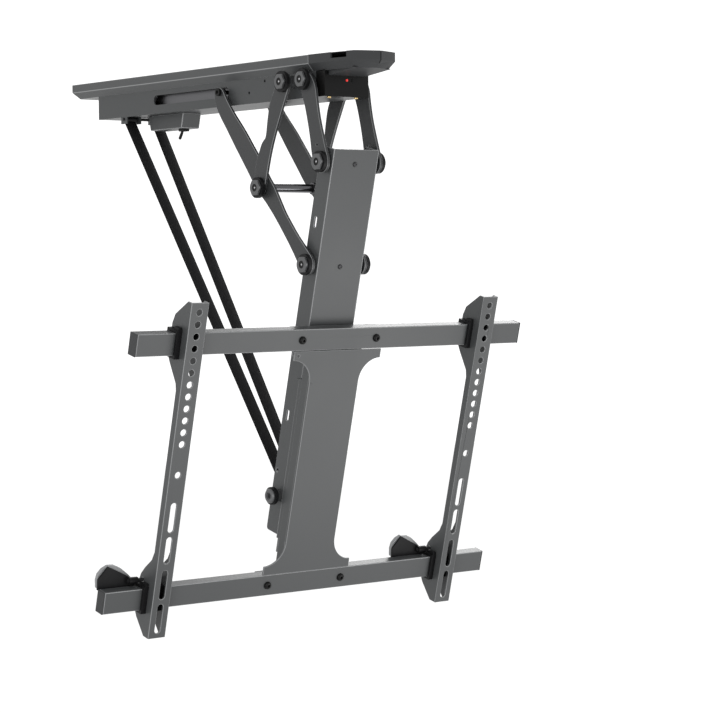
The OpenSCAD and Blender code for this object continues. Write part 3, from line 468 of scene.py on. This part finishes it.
SMOOTH = smooth_group()
for name, part in nodes.items():
    part.data.materials.clear()
    part.data.materials.append(finish[part_finish[name]])
    # coated parts take a second finish on their rounded edges: a painted highlight
    edge_highlight = part_finish[name] in highlight_finishes
    if edge_highlight:
        part.data.materials.append(finish["edge"])
    join_faces(part)
    part.modifiers.new("smooth", "NODES").node_group = SMOOTH
    if name in edge_width:
        clear_flats(part)
        round_edges(part, edge_width[name], EDGE_ANGLE, edge_highlight, clamp=name not in wide_fold, harden=True)

# %% [markdown]
# ## Making and repeating pieces
# A piece is built as a mesh in the row frame, gets its finish, and rides on one body.
# Repeated fittings go through one geometry-node group: a copy on each point, turned to face
# outwards. Screws also get a random turn about their axis, from a fixed seed.


# %% Piece helpers
def keep_piece(mesh, name, material, body):
    """Puts a mesh in the scene with one finish, and has it ride on a body if one is given."""
    piece = bpy.data.objects.new(name.replace(" ", "_"), mesh)
    bpy.context.scene.collection.objects.link(piece)
    mesh.materials.clear()
    mesh.materials.append(material)
    if body is not None:
        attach(piece, body)
    return piece


def from_bmesh(build, name):
    """A mesh with its faces turned outwards, from a bmesh that is used up."""
    mesh = bpy.data.meshes.new(name)
    bmesh.ops.recalc_face_normals(build, faces=build.faces[:])
    build.to_mesh(mesh)
    build.free()
    return mesh


def smooth_by_angle(mesh, degrees=35.0):
    """Smooth shading, with the edges that are sharper than an angle kept crisp."""
    build = bmesh.new()
    build.from_mesh(mesh)
    for face in build.faces:
        face.smooth = True
    for edge in build.edges:
        edge.smooth = len(edge.link_faces) == 2 and edge.calc_face_angle(0.0) < math.radians(degrees)
    build.to_mesh(mesh)
    build.free()


def lathe(profile, steps=32):
    """A turned mesh about Z from (radius, height) pairs. The first and last pairs are on the axis."""
    build = bmesh.new()
    rows = []
    for radius, height in profile:
        if radius == 0:
            rows.append([build.verts.new((0, 0, height))])
            continue
        angles = [FULL_TURN * i / steps for i in range(steps)]
        rows.append([build.verts.new((radius * math.cos(a), radius * math.sin(a), height)) for a in angles])
    for low, high in zip(rows, rows[1:]):
        for i in range(steps):
            j = (i + 1) % steps
            corners = [low[i % len(low)], low[j % len(low)], high[j % len(high)], high[i % len(high)]]
            build.faces.new(list(dict.fromkeys(corners)))
    return build


def applied(piece, name):
    """The piece's mesh with its modifiers worked in."""
    bpy.context.view_layer.update()
    shown = piece.evaluated_get(bpy.context.evaluated_depsgraph_get())
    mesh = bpy.data.meshes.new_from_object(shown)
    mesh.name = name
    return mesh


def carved(mesh, cutter_build, label, folded=False):
    """The mesh less a cutter's volume. A folded mesh has loose faces and may touch itself."""
    blank = keep_piece(mesh, label + " blank", finish["bolt"], None)
    if folded:
        join_faces(blank)
    cutter = keep_piece(from_bmesh(cutter_build, label + " cutter"), label + " cutter", finish["bolt"], None)
    cut = blank.modifiers.new("cut", "BOOLEAN")
    cut.operation = "DIFFERENCE"
    cut.solver = "EXACT"
    cut.use_self = folded
    cut.object = cutter
    left_over = applied(blank, label)
    bpy.data.objects.remove(blank)
    bpy.data.objects.remove(cutter)
    return left_over


def pan_head(name, radius, height, socket, depth):
    """A domed screw head with a hexagonal recess, its seat at the origin and facing +Z."""
    root = -0.4 * height
    neck = 0.5 * radius
    rim = 0.25 * height
    profile = [
        (0, root),
        (neck, root),
        (neck, 0),
        (radius, 0),
        (radius, rim),
        (0.93 * radius, 0.6 * height),
        (0.78 * radius, 0.88 * height),
        (0.6 * radius, height),
        (0, height),
    ]
    recess = bmesh.new()
    bmesh.ops.create_cone(
        recess, cap_ends=True, segments=6, radius1=socket, radius2=socket, depth=2 * depth
    )
    bmesh.ops.translate(recess, verts=recess.verts, vec=(0, 0, height))
    mesh = carved(from_bmesh(lathe(profile), name), recess, name)
    smooth_by_angle(mesh)
    return bpy.data.objects.new(name, mesh)


# %% The repeat group
def repeat_group():
    """Copies of an object on points, each turned to face outwards and given a finish."""
    group = bpy.data.node_groups.new("Repeat on points", "GeometryNodeTree")
    for label, kind in (
        ("Geometry", "NodeSocketGeometry"),
        ("Item", "NodeSocketObject"),
        ("Finish", "NodeSocketMaterial"),
        ("Largest turn", "NodeSocketFloat"),
        ("Seed", "NodeSocketInt"),
    ):
        group.interface.new_socket(label, in_out="INPUT", socket_type=kind)
    group.interface.new_socket("Geometry", in_out="OUTPUT", socket_type="NodeSocketGeometry")
    make = group.nodes.new
    link = group.links.new
    given = make("NodeGroupInput")
    facing = make("GeometryNodeInputNamedAttribute")
    facing.data_type = "FLOAT_VECTOR"
    facing.inputs["Name"].default_value = "facing"
    align = make("FunctionNodeAlignRotationToVector")
    align.axis = "Z"
    link(facing.outputs[0], align.inputs["Vector"])
    low = make("ShaderNodeMath")
    low.operation = "MULTIPLY"
    low.inputs[1].default_value = -1.0
    link(given.outputs["Largest turn"], low.inputs[0])
    chance = make("FunctionNodeRandomValue")
    chance.data_type = "FLOAT"
    link(low.outputs[0], chance.inputs[2])
    link(given.outputs["Largest turn"], chance.inputs[3])
    link(given.outputs["Seed"], chance.inputs["Seed"])
    twist = make("FunctionNodeAxisAngleToRotation")
    twist.inputs["Axis"].default_value = (0, 0, 1)
    link(chance.outputs[1], twist.inputs["Angle"])
    turn = make("FunctionNodeRotateRotation")
    turn.rotation_space = "LOCAL"
    link(align.outputs[0], turn.inputs[0])
    link(twist.outputs[0], turn.inputs[1])
    item = make("GeometryNodeObjectInfo")
    link(given.outputs["Item"], item.inputs["Object"])
    copies = make("GeometryNodeInstanceOnPoints")
    link(given.outputs["Geometry"], copies.inputs["Points"])
    link(item.outputs["Geometry"], copies.inputs["Instance"])
    link(turn.outputs[0], copies.inputs["Rotation"])
    real = make("GeometryNodeRealizeInstances")
    link(copies.outputs[0], real.inputs[0])
    paint = make("GeometryNodeSetMaterial")
    link(real.outputs[0], paint.inputs["Geometry"])
    link(given.outputs["Finish"], paint.inputs["Material"])
    out = make("NodeGroupOutput")
    link(paint.outputs[0], out.inputs[0])
    return group


REPEAT = repeat_group()


def repeat(name, item, spots, material, body, turn=0.0, seed=1):
    """One piece with a copy of item on every (point, outward direction). The item itself goes."""
    points = bpy.data.meshes.new(name + " points")
    points.from_pydata([tuple(p) for p, _ in spots], [], [])
    facing = points.attributes.new("facing", "FLOAT_VECTOR", "POINT")
    for i, (_, direction) in enumerate(spots):
        facing.data[i].vector = tuple(direction)
    holder = bpy.data.objects.new(name + " holder", points)
    bpy.context.scene.collection.objects.link(holder)
    bpy.context.scene.collection.objects.link(item)
    grown = holder.modifiers.new("repeat", "NODES")
    grown.node_group = REPEAT
    values = {"Item": item, "Finish": material, "Largest turn": turn, "Seed": seed}
    for socket in REPEAT.interface.items_tree:
        if socket.item_type == "SOCKET" and socket.in_out == "INPUT" and socket.name in values:
            grown[socket.identifier] = values[socket.name]
    mesh = applied(holder, name)
    bpy.data.objects.remove(holder)
    bpy.data.objects.remove(item)
    return keep_piece(mesh, name, material, body)


# %% [markdown]
# ## Screws
# The rail and mast screws of the construction are plain discs. Domed heads with a hexagonal
# recess take their place, and smaller ones take that of the screws under the channel.

# %% Screws
# head radius, head height, half the width of the recess, and its depth
RAIL_SCREW = (0.0055, 0.0036, 0.0024, 0.0020)
MAST_SCREW = (0.0034, 0.0020, 0.0015, 0.0010)
PLATE_SCREW = (0.0030, 0.0018, 0.0013, 0.0009)
LARGEST_TURN = 1.0
RAIL_SCREW_X = 63
RAIL_HALF_DEPTH = 8
MAST_FRONT = 13.75
MAST_SCREW_DROPS = (0, 140.2)
PLATE_SCREW_INSET = 0.003
COVER_SCREW_Y = 0.168

rail_drops = []
for rail in ("upper_rail", "lower_rail"):
    centre = MAST.inverted() @ middle(rail)
    rail_drops.append((-centre.y / MM, -centre.z / MM))
spots = [
    (on_mast(side * RAIL_SCREW_X, forward + RAIL_HALF_DEPTH, down), FORWARD)
    for forward, down in rail_drops
    for side in (-1, 1)
]
item = pan_head("rail screw", *RAIL_SCREW)
rail_heads = repeat("rail screw heads", item, spots, finish["gloss"], "mast", LARGEST_TURN, seed=3)
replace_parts(rail_heads, "rail_screws")

spots = [(on_mast(0, MAST_FRONT, down), FORWARD) for down in MAST_SCREW_DROPS]
item = pan_head("mast screw", *MAST_SCREW)
mast_heads = repeat("mast screw heads", item, spots, finish["bolt"], "mast", LARGEST_TURN, seed=5)
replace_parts(mast_heads, "mast_screws")

low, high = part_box("plate_screws")
columns = (low[0] + PLATE_SCREW_INSET, high[0] - PLATE_SCREW_INSET)
front_row = (low[1] + PLATE_SCREW_INSET,)
cover_rows = (-COVER_SCREW_Y, COVER_SCREW_Y)
for label, rows, metal in (("front", front_row, "brass"), ("cover", cover_rows, "bolt")):
    spots = [(Vector((x, y, high[2])), DOWN) for x in columns for y in rows]
    item = pan_head(label + " screw", *PLATE_SCREW)
    plate_heads = repeat(label + " screw heads", item, spots, finish[metal], "ceiling", LARGEST_TURN, seed=7)
    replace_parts(plate_heads, "plate_screws")

# %% [markdown]
# ## Pivot nuts
# Each pivot of the linkage ends in a hexagonal nut with a bevelled rim, over a black washer.
# The nut is cut from a copy of the construction's round head, which it stands for, and the
# end of the bolt shows in its bore as a small bright dome. A black disc deep in the bore paints
# the shade inside it.

# %% Pivot nuts
# the links' outer faces, from the middle of the mount
ARM_FACE = 0.0467
LIFT_FACE = 0.0521
# a washer's thickness and the gaps beside it, from such a face to the head
HEAD_SEAT = 0.00565
HEAD_HEIGHT = 0.003
FIXED_NUT = 0.0225
OTHER_NUT = 0.024
NUT_SIDES = 6
FLAT_SHARE = math.cos(math.pi / NUT_SIDES)
CUT_THICKNESS = 0.006
CUT_HEIGHT = HEAD_HEIGHT * 1.2
CUT_MIDDLE = HEAD_HEIGHT * 0.55
BORE_SEAT = HEAD_HEIGHT * 0.7
BORE_SHADE_PROFILE = [(0, 0), (0.0051, 0), (0.0051, 0.0003), (0, 0.0003)]
DOME_PROFILE = [(0, 0.0002), (0.0014, 0.0002), (0.0014, 0.0005), (0.0009, 0.0008), (0, 0.0009)]


def box_mesh(build, place, size):
    """A box added to a bmesh, from a matrix at its middle and its three sizes."""
    made = bmesh.ops.create_cube(build, size=1.0)
    for vert in made["verts"]:
        vert.co = place @ Vector([a * b for a, b in zip(vert.co, size)])


def hexagonal(node, label, body, stacks, width):
    """The node's bolts with their round heads cut to hexagons, a black disc of painted shade deep in each
    bore, and a bright dome.
    """
    build = bmesh.new()
    spots = []
    for point, face in stacks:
        for side in (-1, 1):
            seat = face + HEAD_SEAT
            spots.append((Vector((side * (seat + BORE_SEAT), point.y, point.z)), Vector((side, 0, 0))))
            centre = Matrix.Translation((side * (seat + CUT_MIDDLE), point.y, point.z))
            outwards = Matrix.Translation((0, 0, width / 2 * FLAT_SHARE + CUT_THICKNESS / 2))
            for k in range(NUT_SIDES):
                turn = Matrix.Rotation(FULL_TURN * k / NUT_SIDES, 4, "X")
                box_mesh(build, centre @ turn @ outwards, (CUT_HEIGHT, width, CUT_THICKNESS))
    mesh = carved(nodes[node].data.copy(), build, label, folded=True)
    smooth_by_angle(mesh)
    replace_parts(keep_piece(mesh, label, finish["head"], body), node)
    # a black disc deep in the bore: painted shade in the hole
    bore_shade = bpy.data.objects.new(label + " bore", from_bmesh(lathe(BORE_SHADE_PROFILE), label + " bore"))
    repeat(label + " bores", bore_shade, spots, finish["gloss"], body)
    end_mesh = from_bmesh(lathe(DOME_PROFILE, steps=16), label + " dome")
    end = bpy.data.objects.new(label + " dome", end_mesh)
    repeat(label + " domes", end, spots, finish["steel"], body)


fixed_stacks = [(joint_at("front_link"), ARM_FACE), (joint_at("lift"), LIFT_FACE)]
hexagonal("fixed_pivots", "fixed nuts", "ceiling", fixed_stacks, FIXED_NUT)
hexagonal("middle_pivots", "middle nuts", "lift", [(joint_at("arm"), LIFT_FACE)], OTHER_NUT)
hexagonal("top_pivots", "top nuts", "front_link", [(TOP_PIVOT, ARM_FACE)], OTHER_NUT)
hexagonal("mast_pivots", "mast nuts", "mast", [(joint_at("mast"), ARM_FACE)], OTHER_NUT)

# %% [markdown]
# ## Spine plate
# The front sheet of the spine flares at both ends, but the walls behind it run straight from
# rail to rail. The construction's curved walls are cut from a copy, and straight ones added.

# %% Spine plate
SHEET_BACK = 34.5
WALL_REAR = 19.8
WAIST = 42
WALL = 2.5
FLARE_REACH = 40
CUT_REAR = 12
CUT_SPARE = 0.1
PROUD = 0.1
SPINE_EDGE = 0.7
SPINE_ENDS = ((250.1, 294.9), (522.1, 566.9))


def wall_box(build, near, far, top, foot, rear=WALL_REAR):
    """A box behind the spine's sheet, between two distances across and two down, in millimetres."""
    place = MAST @ Matrix.Translation(
        ((near + far) / 2 * MM, -(SHEET_BACK + rear) / 2 * MM, -(top + foot) / 2 * MM)
    )
    box_mesh(build, place, (abs(far - near) * MM, (SHEET_BACK - rear) * MM, (foot - top) * MM))


cuts = bmesh.new()
walls = bmesh.new()
for side in (-1, 1):
    for top, foot in SPINE_ENDS:
        wall_box(cuts, side * (WAIST - WALL - CUT_SPARE), side * (WAIST + FLARE_REACH), top, foot, CUT_REAR)
    wall_box(walls, side * (WAIST - WALL), side * (WAIST + PROUD), SPINE_ENDS[0][0], SPINE_ENDS[1][1])
walls.from_mesh(carved(nodes["spine_plate"].data.copy(), cuts, "spine sheet", folded=True))
spine = keep_piece(from_bmesh(walls, "spine sheet"), "spine sheet", finish["body"], "mast")
# the spine's rounded edges get the painted highlight too
spine.data.materials.append(finish["edge"])
clear_flats(spine)
round_edges(spine, SPINE_EDGE, EDGE_ANGLE, edge_highlight=True, clamp=False)
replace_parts(spine, "spine_plate")

# %% [markdown]
# ## Lock levers
# A lock lever is a thick moulded wedge behind the lower rail, hung from a hub on its pin.
# A shell with a rounded outline closes it at the rear. It takes the pale edge coat, a painted highlight for
# its top, which faces up into the light.

# %% Lock levers
RAIL_BACK = 19.75
RAIL_TOP = 567
ROOT = {"left": -268.8, "right": 225.2}
HUB_REACH = 14
HUB_RADIUS = 4.6
WEB_PLACE = (8, 18.7, 8)
WEB_SIZE = (10, 5.5, 5.5)
WEDGE = [(57.5, -2.5), (58.5, 12), (45, 29), (0.4, 7.2), (0.4, -2.5)]
WEDGE_DEPTHS = (1.2, 4)
SHELL_TIP = [(57, -1), (58.9, 10), (57.4, 19), (52, 25.5), (44, 29.5)]
SHELL_SLOPE = [(34, 29), (24, 24.5), (12, 15.5), (0.4, 5), (0.4, -1)]
SHELL_DEPTHS = (4, 9)
LEVER_EDGE = 0.6
LEVER_EDGE_ANGLE = 25


def hull_of(build, root, outline, depths):
    """The solid between one outline at two depths behind the lower rail, in millimetres."""
    part = bmesh.new()
    for behind in depths:
        for left, high_up in outline:
            part.verts.new(on_mast(root - left, RAIL_BACK - behind, RAIL_TOP - high_up))
    bmesh.ops.convex_hull(part, input=part.verts[:])
    build.from_mesh(from_bmesh(part, "hull"))


hub_profile = [(0, 0), (HUB_RADIUS * MM, 0), (HUB_RADIUS * MM, HUB_REACH * MM), (0, HUB_REACH * MM)]
for label, root in ROOT.items():
    build = bmesh.new()
    hull_of(build, root, WEDGE, WEDGE_DEPTHS)
    pin = joint_at("lever_" + label + "_turn")
    hub = lathe(hub_profile)
    along = Matrix.Translation(((root - HUB_REACH) * MM, pin.y, pin.z)) @ Matrix.Rotation(math.pi / 2, 4, "Y")
    bmesh.ops.transform(hub, matrix=along, verts=hub.verts)
    build.from_mesh(from_bmesh(hub, "lever hub"))
    inwards, forward, above = WEB_PLACE
    web = MAST @ Matrix.Translation(((root - inwards) * MM, -forward * MM, (above - RAIL_TOP) * MM))
    box_mesh(build, web, [size * MM for size in WEB_SIZE])
    shell = bmesh.new()
    hull_of(shell, root, SHELL_TIP + SHELL_SLOPE, SHELL_DEPTHS)
    # the shell's pale coat is painted light on its upward-facing top
    for solid, name, coat in ((build, "lock lever ", "plastic"), (shell, "lever shell ", "edge")):
        lever = keep_piece(from_bmesh(solid, name + label), name + label, finish[coat], "lever_" + label)
        round_edges(lever, LEVER_EDGE, LEVER_EDGE_ANGLE)
        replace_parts(lever, "lock_lever_" + label)

# %% [markdown]
# ## Control housing
# The housing of the control box is plain on the sides that show, so it is drawn as the skin
# round the construction's box, with rounded corners.

# %% Control housing
HOUSING_FLAT_ANGLE = 1
HOUSING_EDGE = 1.2
HOUSING_EDGE_ANGLE = 20

build = bmesh.new()
for vert in nodes["control_box"].data.vertices:
    build.verts.new(vert.co)
bmesh.ops.remove_doubles(build, verts=build.verts[:], dist=JOIN_DISTANCE)
skin = bmesh.ops.convex_hull(build, input=build.verts[:])
bmesh.ops.delete(build, geom=list(set(skin["geom_interior"] + skin["geom_unused"])), context="VERTS")
flat_limit = math.radians(HOUSING_FLAT_ANGLE)
bmesh.ops.dissolve_limit(build, angle_limit=flat_limit, verts=build.verts[:], edges=build.edges[:])
housing = keep_piece(from_bmesh(build, "control housing"), "control housing", finish["dark"], "ceiling")
# the housing's rounded edges get the painted highlight too
housing.data.materials.append(finish["edge"])
round_edges(housing, HOUSING_EDGE, HOUSING_EDGE_ANGLE, edge_highlight=True, harden=True)
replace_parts(housing, "control_box")

# %% [markdown]
# ## Aerial
# The receiver under the control box has a short stub that leans towards the rear.

# %% Aerial
BLOCK_SIZE = (0.0105, 0.012, 0.0039)
BLOCK_DROP = 0.002
STUB_PROFILE = [(0, 0), (0.0018, 0), (0.0022, 0.004), (0.0022, 0.0125), (0.0018, 0.0134), (0, 0.0134)]
STUB_ROOT = Vector((-0.001, 0.002, -0.0016))
STUB_LEAN = 35

low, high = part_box("antenna")
build = bmesh.new()
block = Matrix.Translation(((low[0] + high[0]) / 2, (low[1] + high[1]) / 2, high[2] - BLOCK_DROP))
box_mesh(build, block, BLOCK_SIZE)
stub = lathe(STUB_PROFILE, steps=20)
root = Matrix.Translation(block.translation + STUB_ROOT)
hanging = Matrix.Rotation(math.radians(180 + STUB_LEAN), 4, "X")
bmesh.ops.transform(stub, matrix=root @ hanging, verts=stub.verts)
build.from_mesh(from_bmesh(stub, "aerial stub"))
aerial = keep_piece(from_bmesh(build, "aerial"), "aerial", finish["plastic"], "ceiling")
smooth_by_angle(aerial.data)
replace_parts(aerial, "antenna")

# %% [markdown]
# ## Painted shade over the notch and the channel
# Two thin black plates just under the ceiling close the cable notch and the front end of the channel:
# they paint the shade in both, so that both look dark from below.


# %% Painted shade over the notch and the channel
SHADE_FOOT = -0.0014
SHADE_TOP = -0.0001
NOTCH_SHADE = [(-0.0408, -0.2937), (-0.0359, -0.3207), (-0.0278, -0.3207), (-0.0278, -0.2937)]
FRONT_SHADE = [(-0.0368, -0.2472), (-0.0368, -0.2738), (0.0368, -0.2738), (0.0368, -0.2472)]


def shade_plate(name, corners):
    """A thin black plate just under the ceiling, from its corners in plan: painted shade."""
    build = bmesh.new()
    low_ring = [build.verts.new((x, y, SHADE_FOOT)) for x, y in corners]
    high_ring = [build.verts.new((x, y, SHADE_TOP)) for x, y in corners]
    build.faces.new(low_ring)
    build.faces.new(list(reversed(high_ring)))
    for i in range(len(corners)):
        j = (i + 1) % len(corners)
        build.faces.new([low_ring[i], low_ring[j], high_ring[j], high_ring[i]])
    return keep_piece(from_bmesh(build, name), name, finish["plastic"], "ceiling")


shade_plate("notch skin", NOTCH_SHADE)
shade_plate("front skin", FRONT_SHADE)

# %% [markdown]
# ## Straps
# Each strap leaves the spool, bends round its roller and runs down to the mast axle.
# The band is sewn back on itself round a sleeve on the axle, with rows of stitches.
# The two straps draw together on their way down.

# %% Straps
AXLE_X = 0.0107
HALF_WIDTH = 0.010
THICK = 0.0016
ROLLER_R = 0.0040
SLEEVE_R = 0.0075
TOP_OFFSET = ROLLER_R + THICK * 0.6
FOOT_OFFSET = SLEEVE_R + THICK * 0.6
BAND_STEPS = 40
LAP = 0.052
LAP_STEPS = 8
LAP_OFFSET = THICK * 1.02
LOOP_ANGLE = 300
WRAP_ANGLE = 40
SPOOL_ENTRY = Vector((0, -0.0125, -0.001))
COIL_R = 0.0095
COIL_THICK = 0.0042
STITCH_R = 0.0004
STITCH_SHAPE = (2.6, 0.9, 0.7)
SEAM_X = 0.0078
SEAM_START = 0.003
SEAM_END = 0.045
SEAM_STITCHES = 14
SEAM_PITCH = 0.0033
CROSS_STITCHES = 5
CROSS_PITCH = 0.0026
SIDE = Vector(ACROSS).cross(STRAP_RUN).normalized()
if SIDE.y < 0:
    SIDE = -SIDE
SIDE_ANGLE = math.degrees(math.atan2(SIDE.z, SIDE.y))


def band(name, line, material, body, centre_x, thick=THICK):
    """A flat band along points in the Y-Z plane, with rounded long edges."""
    build = bmesh.new()
    edge = thick * 0.35
    quarter = [(HALF_WIDTH, thick / 2 - edge), (HALF_WIDTH - edge, thick / 2)]
    top_half = quarter + [(-a, b) for a, b in reversed(quarter)]
    section = [(-a, -b) for a, b in top_half] + top_half
    rows = []
    for i, point in enumerate(line):
        before = line[max(0, i - 1)]
        after = line[min(len(line) - 1, i + 1)]
        run = (after - before).normalized()
        out = Vector(ACROSS).cross(run).normalized()
        rows.append([build.verts.new(point + Vector((centre_x + a, 0, 0)) + out * b) for a, b in section])
    for one, two in zip(rows, rows[1:]):
        for i in range(len(section)):
            j = (i + 1) % len(section)
            build.faces.new([one[i], one[j], two[j], two[i]])
    build.faces.new(rows[0])
    build.faces.new(list(reversed(rows[-1])))
    mesh = from_bmesh(build, name)
    smooth_by_angle(mesh, degrees=50)
    return keep_piece(mesh, name, material, body)


def draw_in(piece, side):
    """Leans a strap's piece towards the middle on its way down to the axle."""
    run = AXLE - STRAP_TOP
    for vert in piece.data.vertices:
        share = (vert.co - STRAP_TOP).dot(run) / run.length_squared
        vert.co.x -= side * (STRAP_X - AXLE_X) * min(max(share, 0.0), 1.0)


def arc(centre, radius, start, end, steps):
    """Points on a circle in the Y-Z plane. Angles in degrees from +Y towards +Z."""
    points = []
    for i in range(steps + 1):
        a = math.radians(start + (end - start) * i / steps)
        points.append(Vector((0, centre.y + radius * math.cos(a), centre.z + radius * math.sin(a))))
    return points


def stitch(name):
    """One raised stitch, lying along its own X with its middle on the origin."""
    build = bmesh.new()
    bmesh.ops.create_uvsphere(build, u_segments=8, v_segments=5, radius=STITCH_R)
    bmesh.ops.scale(build, verts=build.verts, vec=STITCH_SHAPE)
    mesh = from_bmesh(build, name)
    smooth_by_angle(mesh, degrees=80)
    return bpy.data.objects.new(name, mesh)


def squash_strap(piece):
    """Gives the piece its own copy of its mesh."""
    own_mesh(piece)


def over_lap(lap_start, run, down, across):
    """A point on the outer face of the band, by its distance along the sewn-back end."""
    return lap_start + run * down + SIDE * THICK * 0.5 + Vector((across, 0, 0))


for label, side in (("left", -1), ("right", 1)):
    x = side * STRAP_X
    top = STRAP_TOP + SIDE * TOP_OFFSET
    foot = AXLE + SIDE * FOOT_OFFSET
    line = [top.lerp(foot, i / BAND_STEPS) for i in range(BAND_STEPS + 1)]
    strap = band("strap band " + label, line, finish["strap"], "straps", x)
    # the sewn-back end lies on the inner face of the band
    run = (foot - top).normalized()
    lap_start = foot - run * LAP
    lap = [lap_start - SIDE * LAP_OFFSET + run * (LAP * i / LAP_STEPS) for i in range(LAP_STEPS)]
    lap_piece = band("strap lap " + label, lap, finish["strap"], "straps", x)
    loop = arc(AXLE, FOOT_OFFSET, SIDE_ANGLE, SIDE_ANGLE - LOOP_ANGLE, steps=36)
    band("strap loop " + label, loop, finish["strap"], "mast", side * AXLE_X)
    spots = []
    for row in (-SEAM_X, SEAM_X):
        for i in range(SEAM_STITCHES):
            spots.append((over_lap(lap_start, run, SEAM_START + SEAM_PITCH * i, x + row), SIDE))
    for down in (SEAM_START, SEAM_END):
        for i in range(1, CROSS_STITCHES + 1):
            spots.append((over_lap(lap_start, run, down, x - SEAM_X + CROSS_PITCH * i), SIDE))
    seam = repeat("strap stitches " + label, stitch("stitch " + label), spots, finish["thread"], "straps")
    for piece in (strap, lap_piece, seam):
        draw_in(piece, side)
        squash_strap(piece)
    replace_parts(strap, "strap_" + label)
    # over the roller and up to the spool
    lead = arc(STRAP_TOP, TOP_OFFSET, SIDE_ANGLE, SIDE_ANGLE + WRAP_ANGLE, steps=6)
    entry = SPOOL + SPOOL_ENTRY
    lead += [lead[-1].lerp(entry, 0.5), entry]
    band("strap lead " + label, lead, finish["strap"], "ceiling", x)
    coil = arc(SPOOL, COIL_R, 0, 360, steps=48)
    band("wound strap " + label, coil, finish["strap"], "winch", x, COIL_THICK)

# %% [markdown]
# ## Camera and light
# The camera stands where the photographer stood: in front of the screen side and to its left,
# a little below the ceiling, with a long lens. The lens has no shift: a straight view comes
# within a few pixels of the photographer's framing.
# A pale floor and large soft lamps give the studio look.

# %% Camera and light
AZIMUTH = math.radians(-38.475)
ELEVATION = math.radians(2.183)
ROLL = math.radians(-0.59)
CAMERA_PLACE = Vector((-1.9172, -2.7011, -0.2850))
SENSOR = 36
FOCAL = 116.55
FAR_CLIP = 60
FLOOR_HEIGHT = -3.6
FLOOR_REACH = 30
SKY_STRENGTH = 1.2

scene = bpy.context.scene
scene.view_settings.view_transform = "Standard"

level = math.cos(ELEVATION)
back = Vector((math.sin(AZIMUTH) * level, -math.cos(AZIMUTH) * level, math.sin(ELEVATION)))
right = Vector((math.cos(AZIMUTH), math.sin(AZIMUTH), 0))
up = back.cross(right)
turned_right = right * math.cos(ROLL) + up * math.sin(ROLL)
turned_up = up * math.cos(ROLL) - right * math.sin(ROLL)
lens_data = bpy.data.cameras.new("photo camera")
lens_data.sensor_width = SENSOR
lens_data.lens = FOCAL
lens_data.clip_end = FAR_CLIP
camera = bpy.data.objects.new("photo camera", lens_data)
scene.collection.objects.link(camera)
pose = Matrix((turned_right, turned_up, back)).transposed().to_4x4()
pose.translation = CAMERA_PLACE
camera.matrix_world = pose
scene.camera = camera


def lamp_at(name, place, target, size, power):
    """A square lamp at a place, turned to a target. Size in metres, power in watts."""
    data = bpy.data.lights.new(name, "AREA")
    data.shape = "SQUARE"
    data.size = size
    data.energy = power
    holder = bpy.data.objects.new(name, data)
    scene.collection.objects.link(holder)
    holder.location = place
    aim = (Vector(target) - Vector(place)).to_track_quat("-Z", "Y")
    holder.rotation_euler = aim.to_euler()
    return holder


floor_build = bmesh.new()
bmesh.ops.create_grid(floor_build, x_segments=1, y_segments=1, size=FLOOR_REACH)
floor_coat = moulded("pale floor", (0.88, 0.88, 0.88), 0.9, 0.0)
floor = keep_piece(from_bmesh(floor_build, "floor"), "floor", floor_coat, None)
floor.location = (0, 0, FLOOR_HEIGHT)
lamp_at("key lamp", (-1.9, -1.6, -0.55), (0, -0.2, -0.45), 0.9, 22)
lamp_at("front lamp", (1.0, -1.5, -1.1), (0, -0.2, -0.5), 0.8, 11)
lamp_at("rim lamp", (2.4, 1.6, 0.8), (0, 0, -0.3), 1.4, 30)
world = bpy.data.worlds.new("studio")
world.use_nodes = True
sky = world.node_tree.nodes["Background"]
sky.inputs["Color"].default_value = (1.0, 1.0, 1.0, 1.0)
sky.inputs["Strength"].default_value = SKY_STRENGTH
scene.world = world
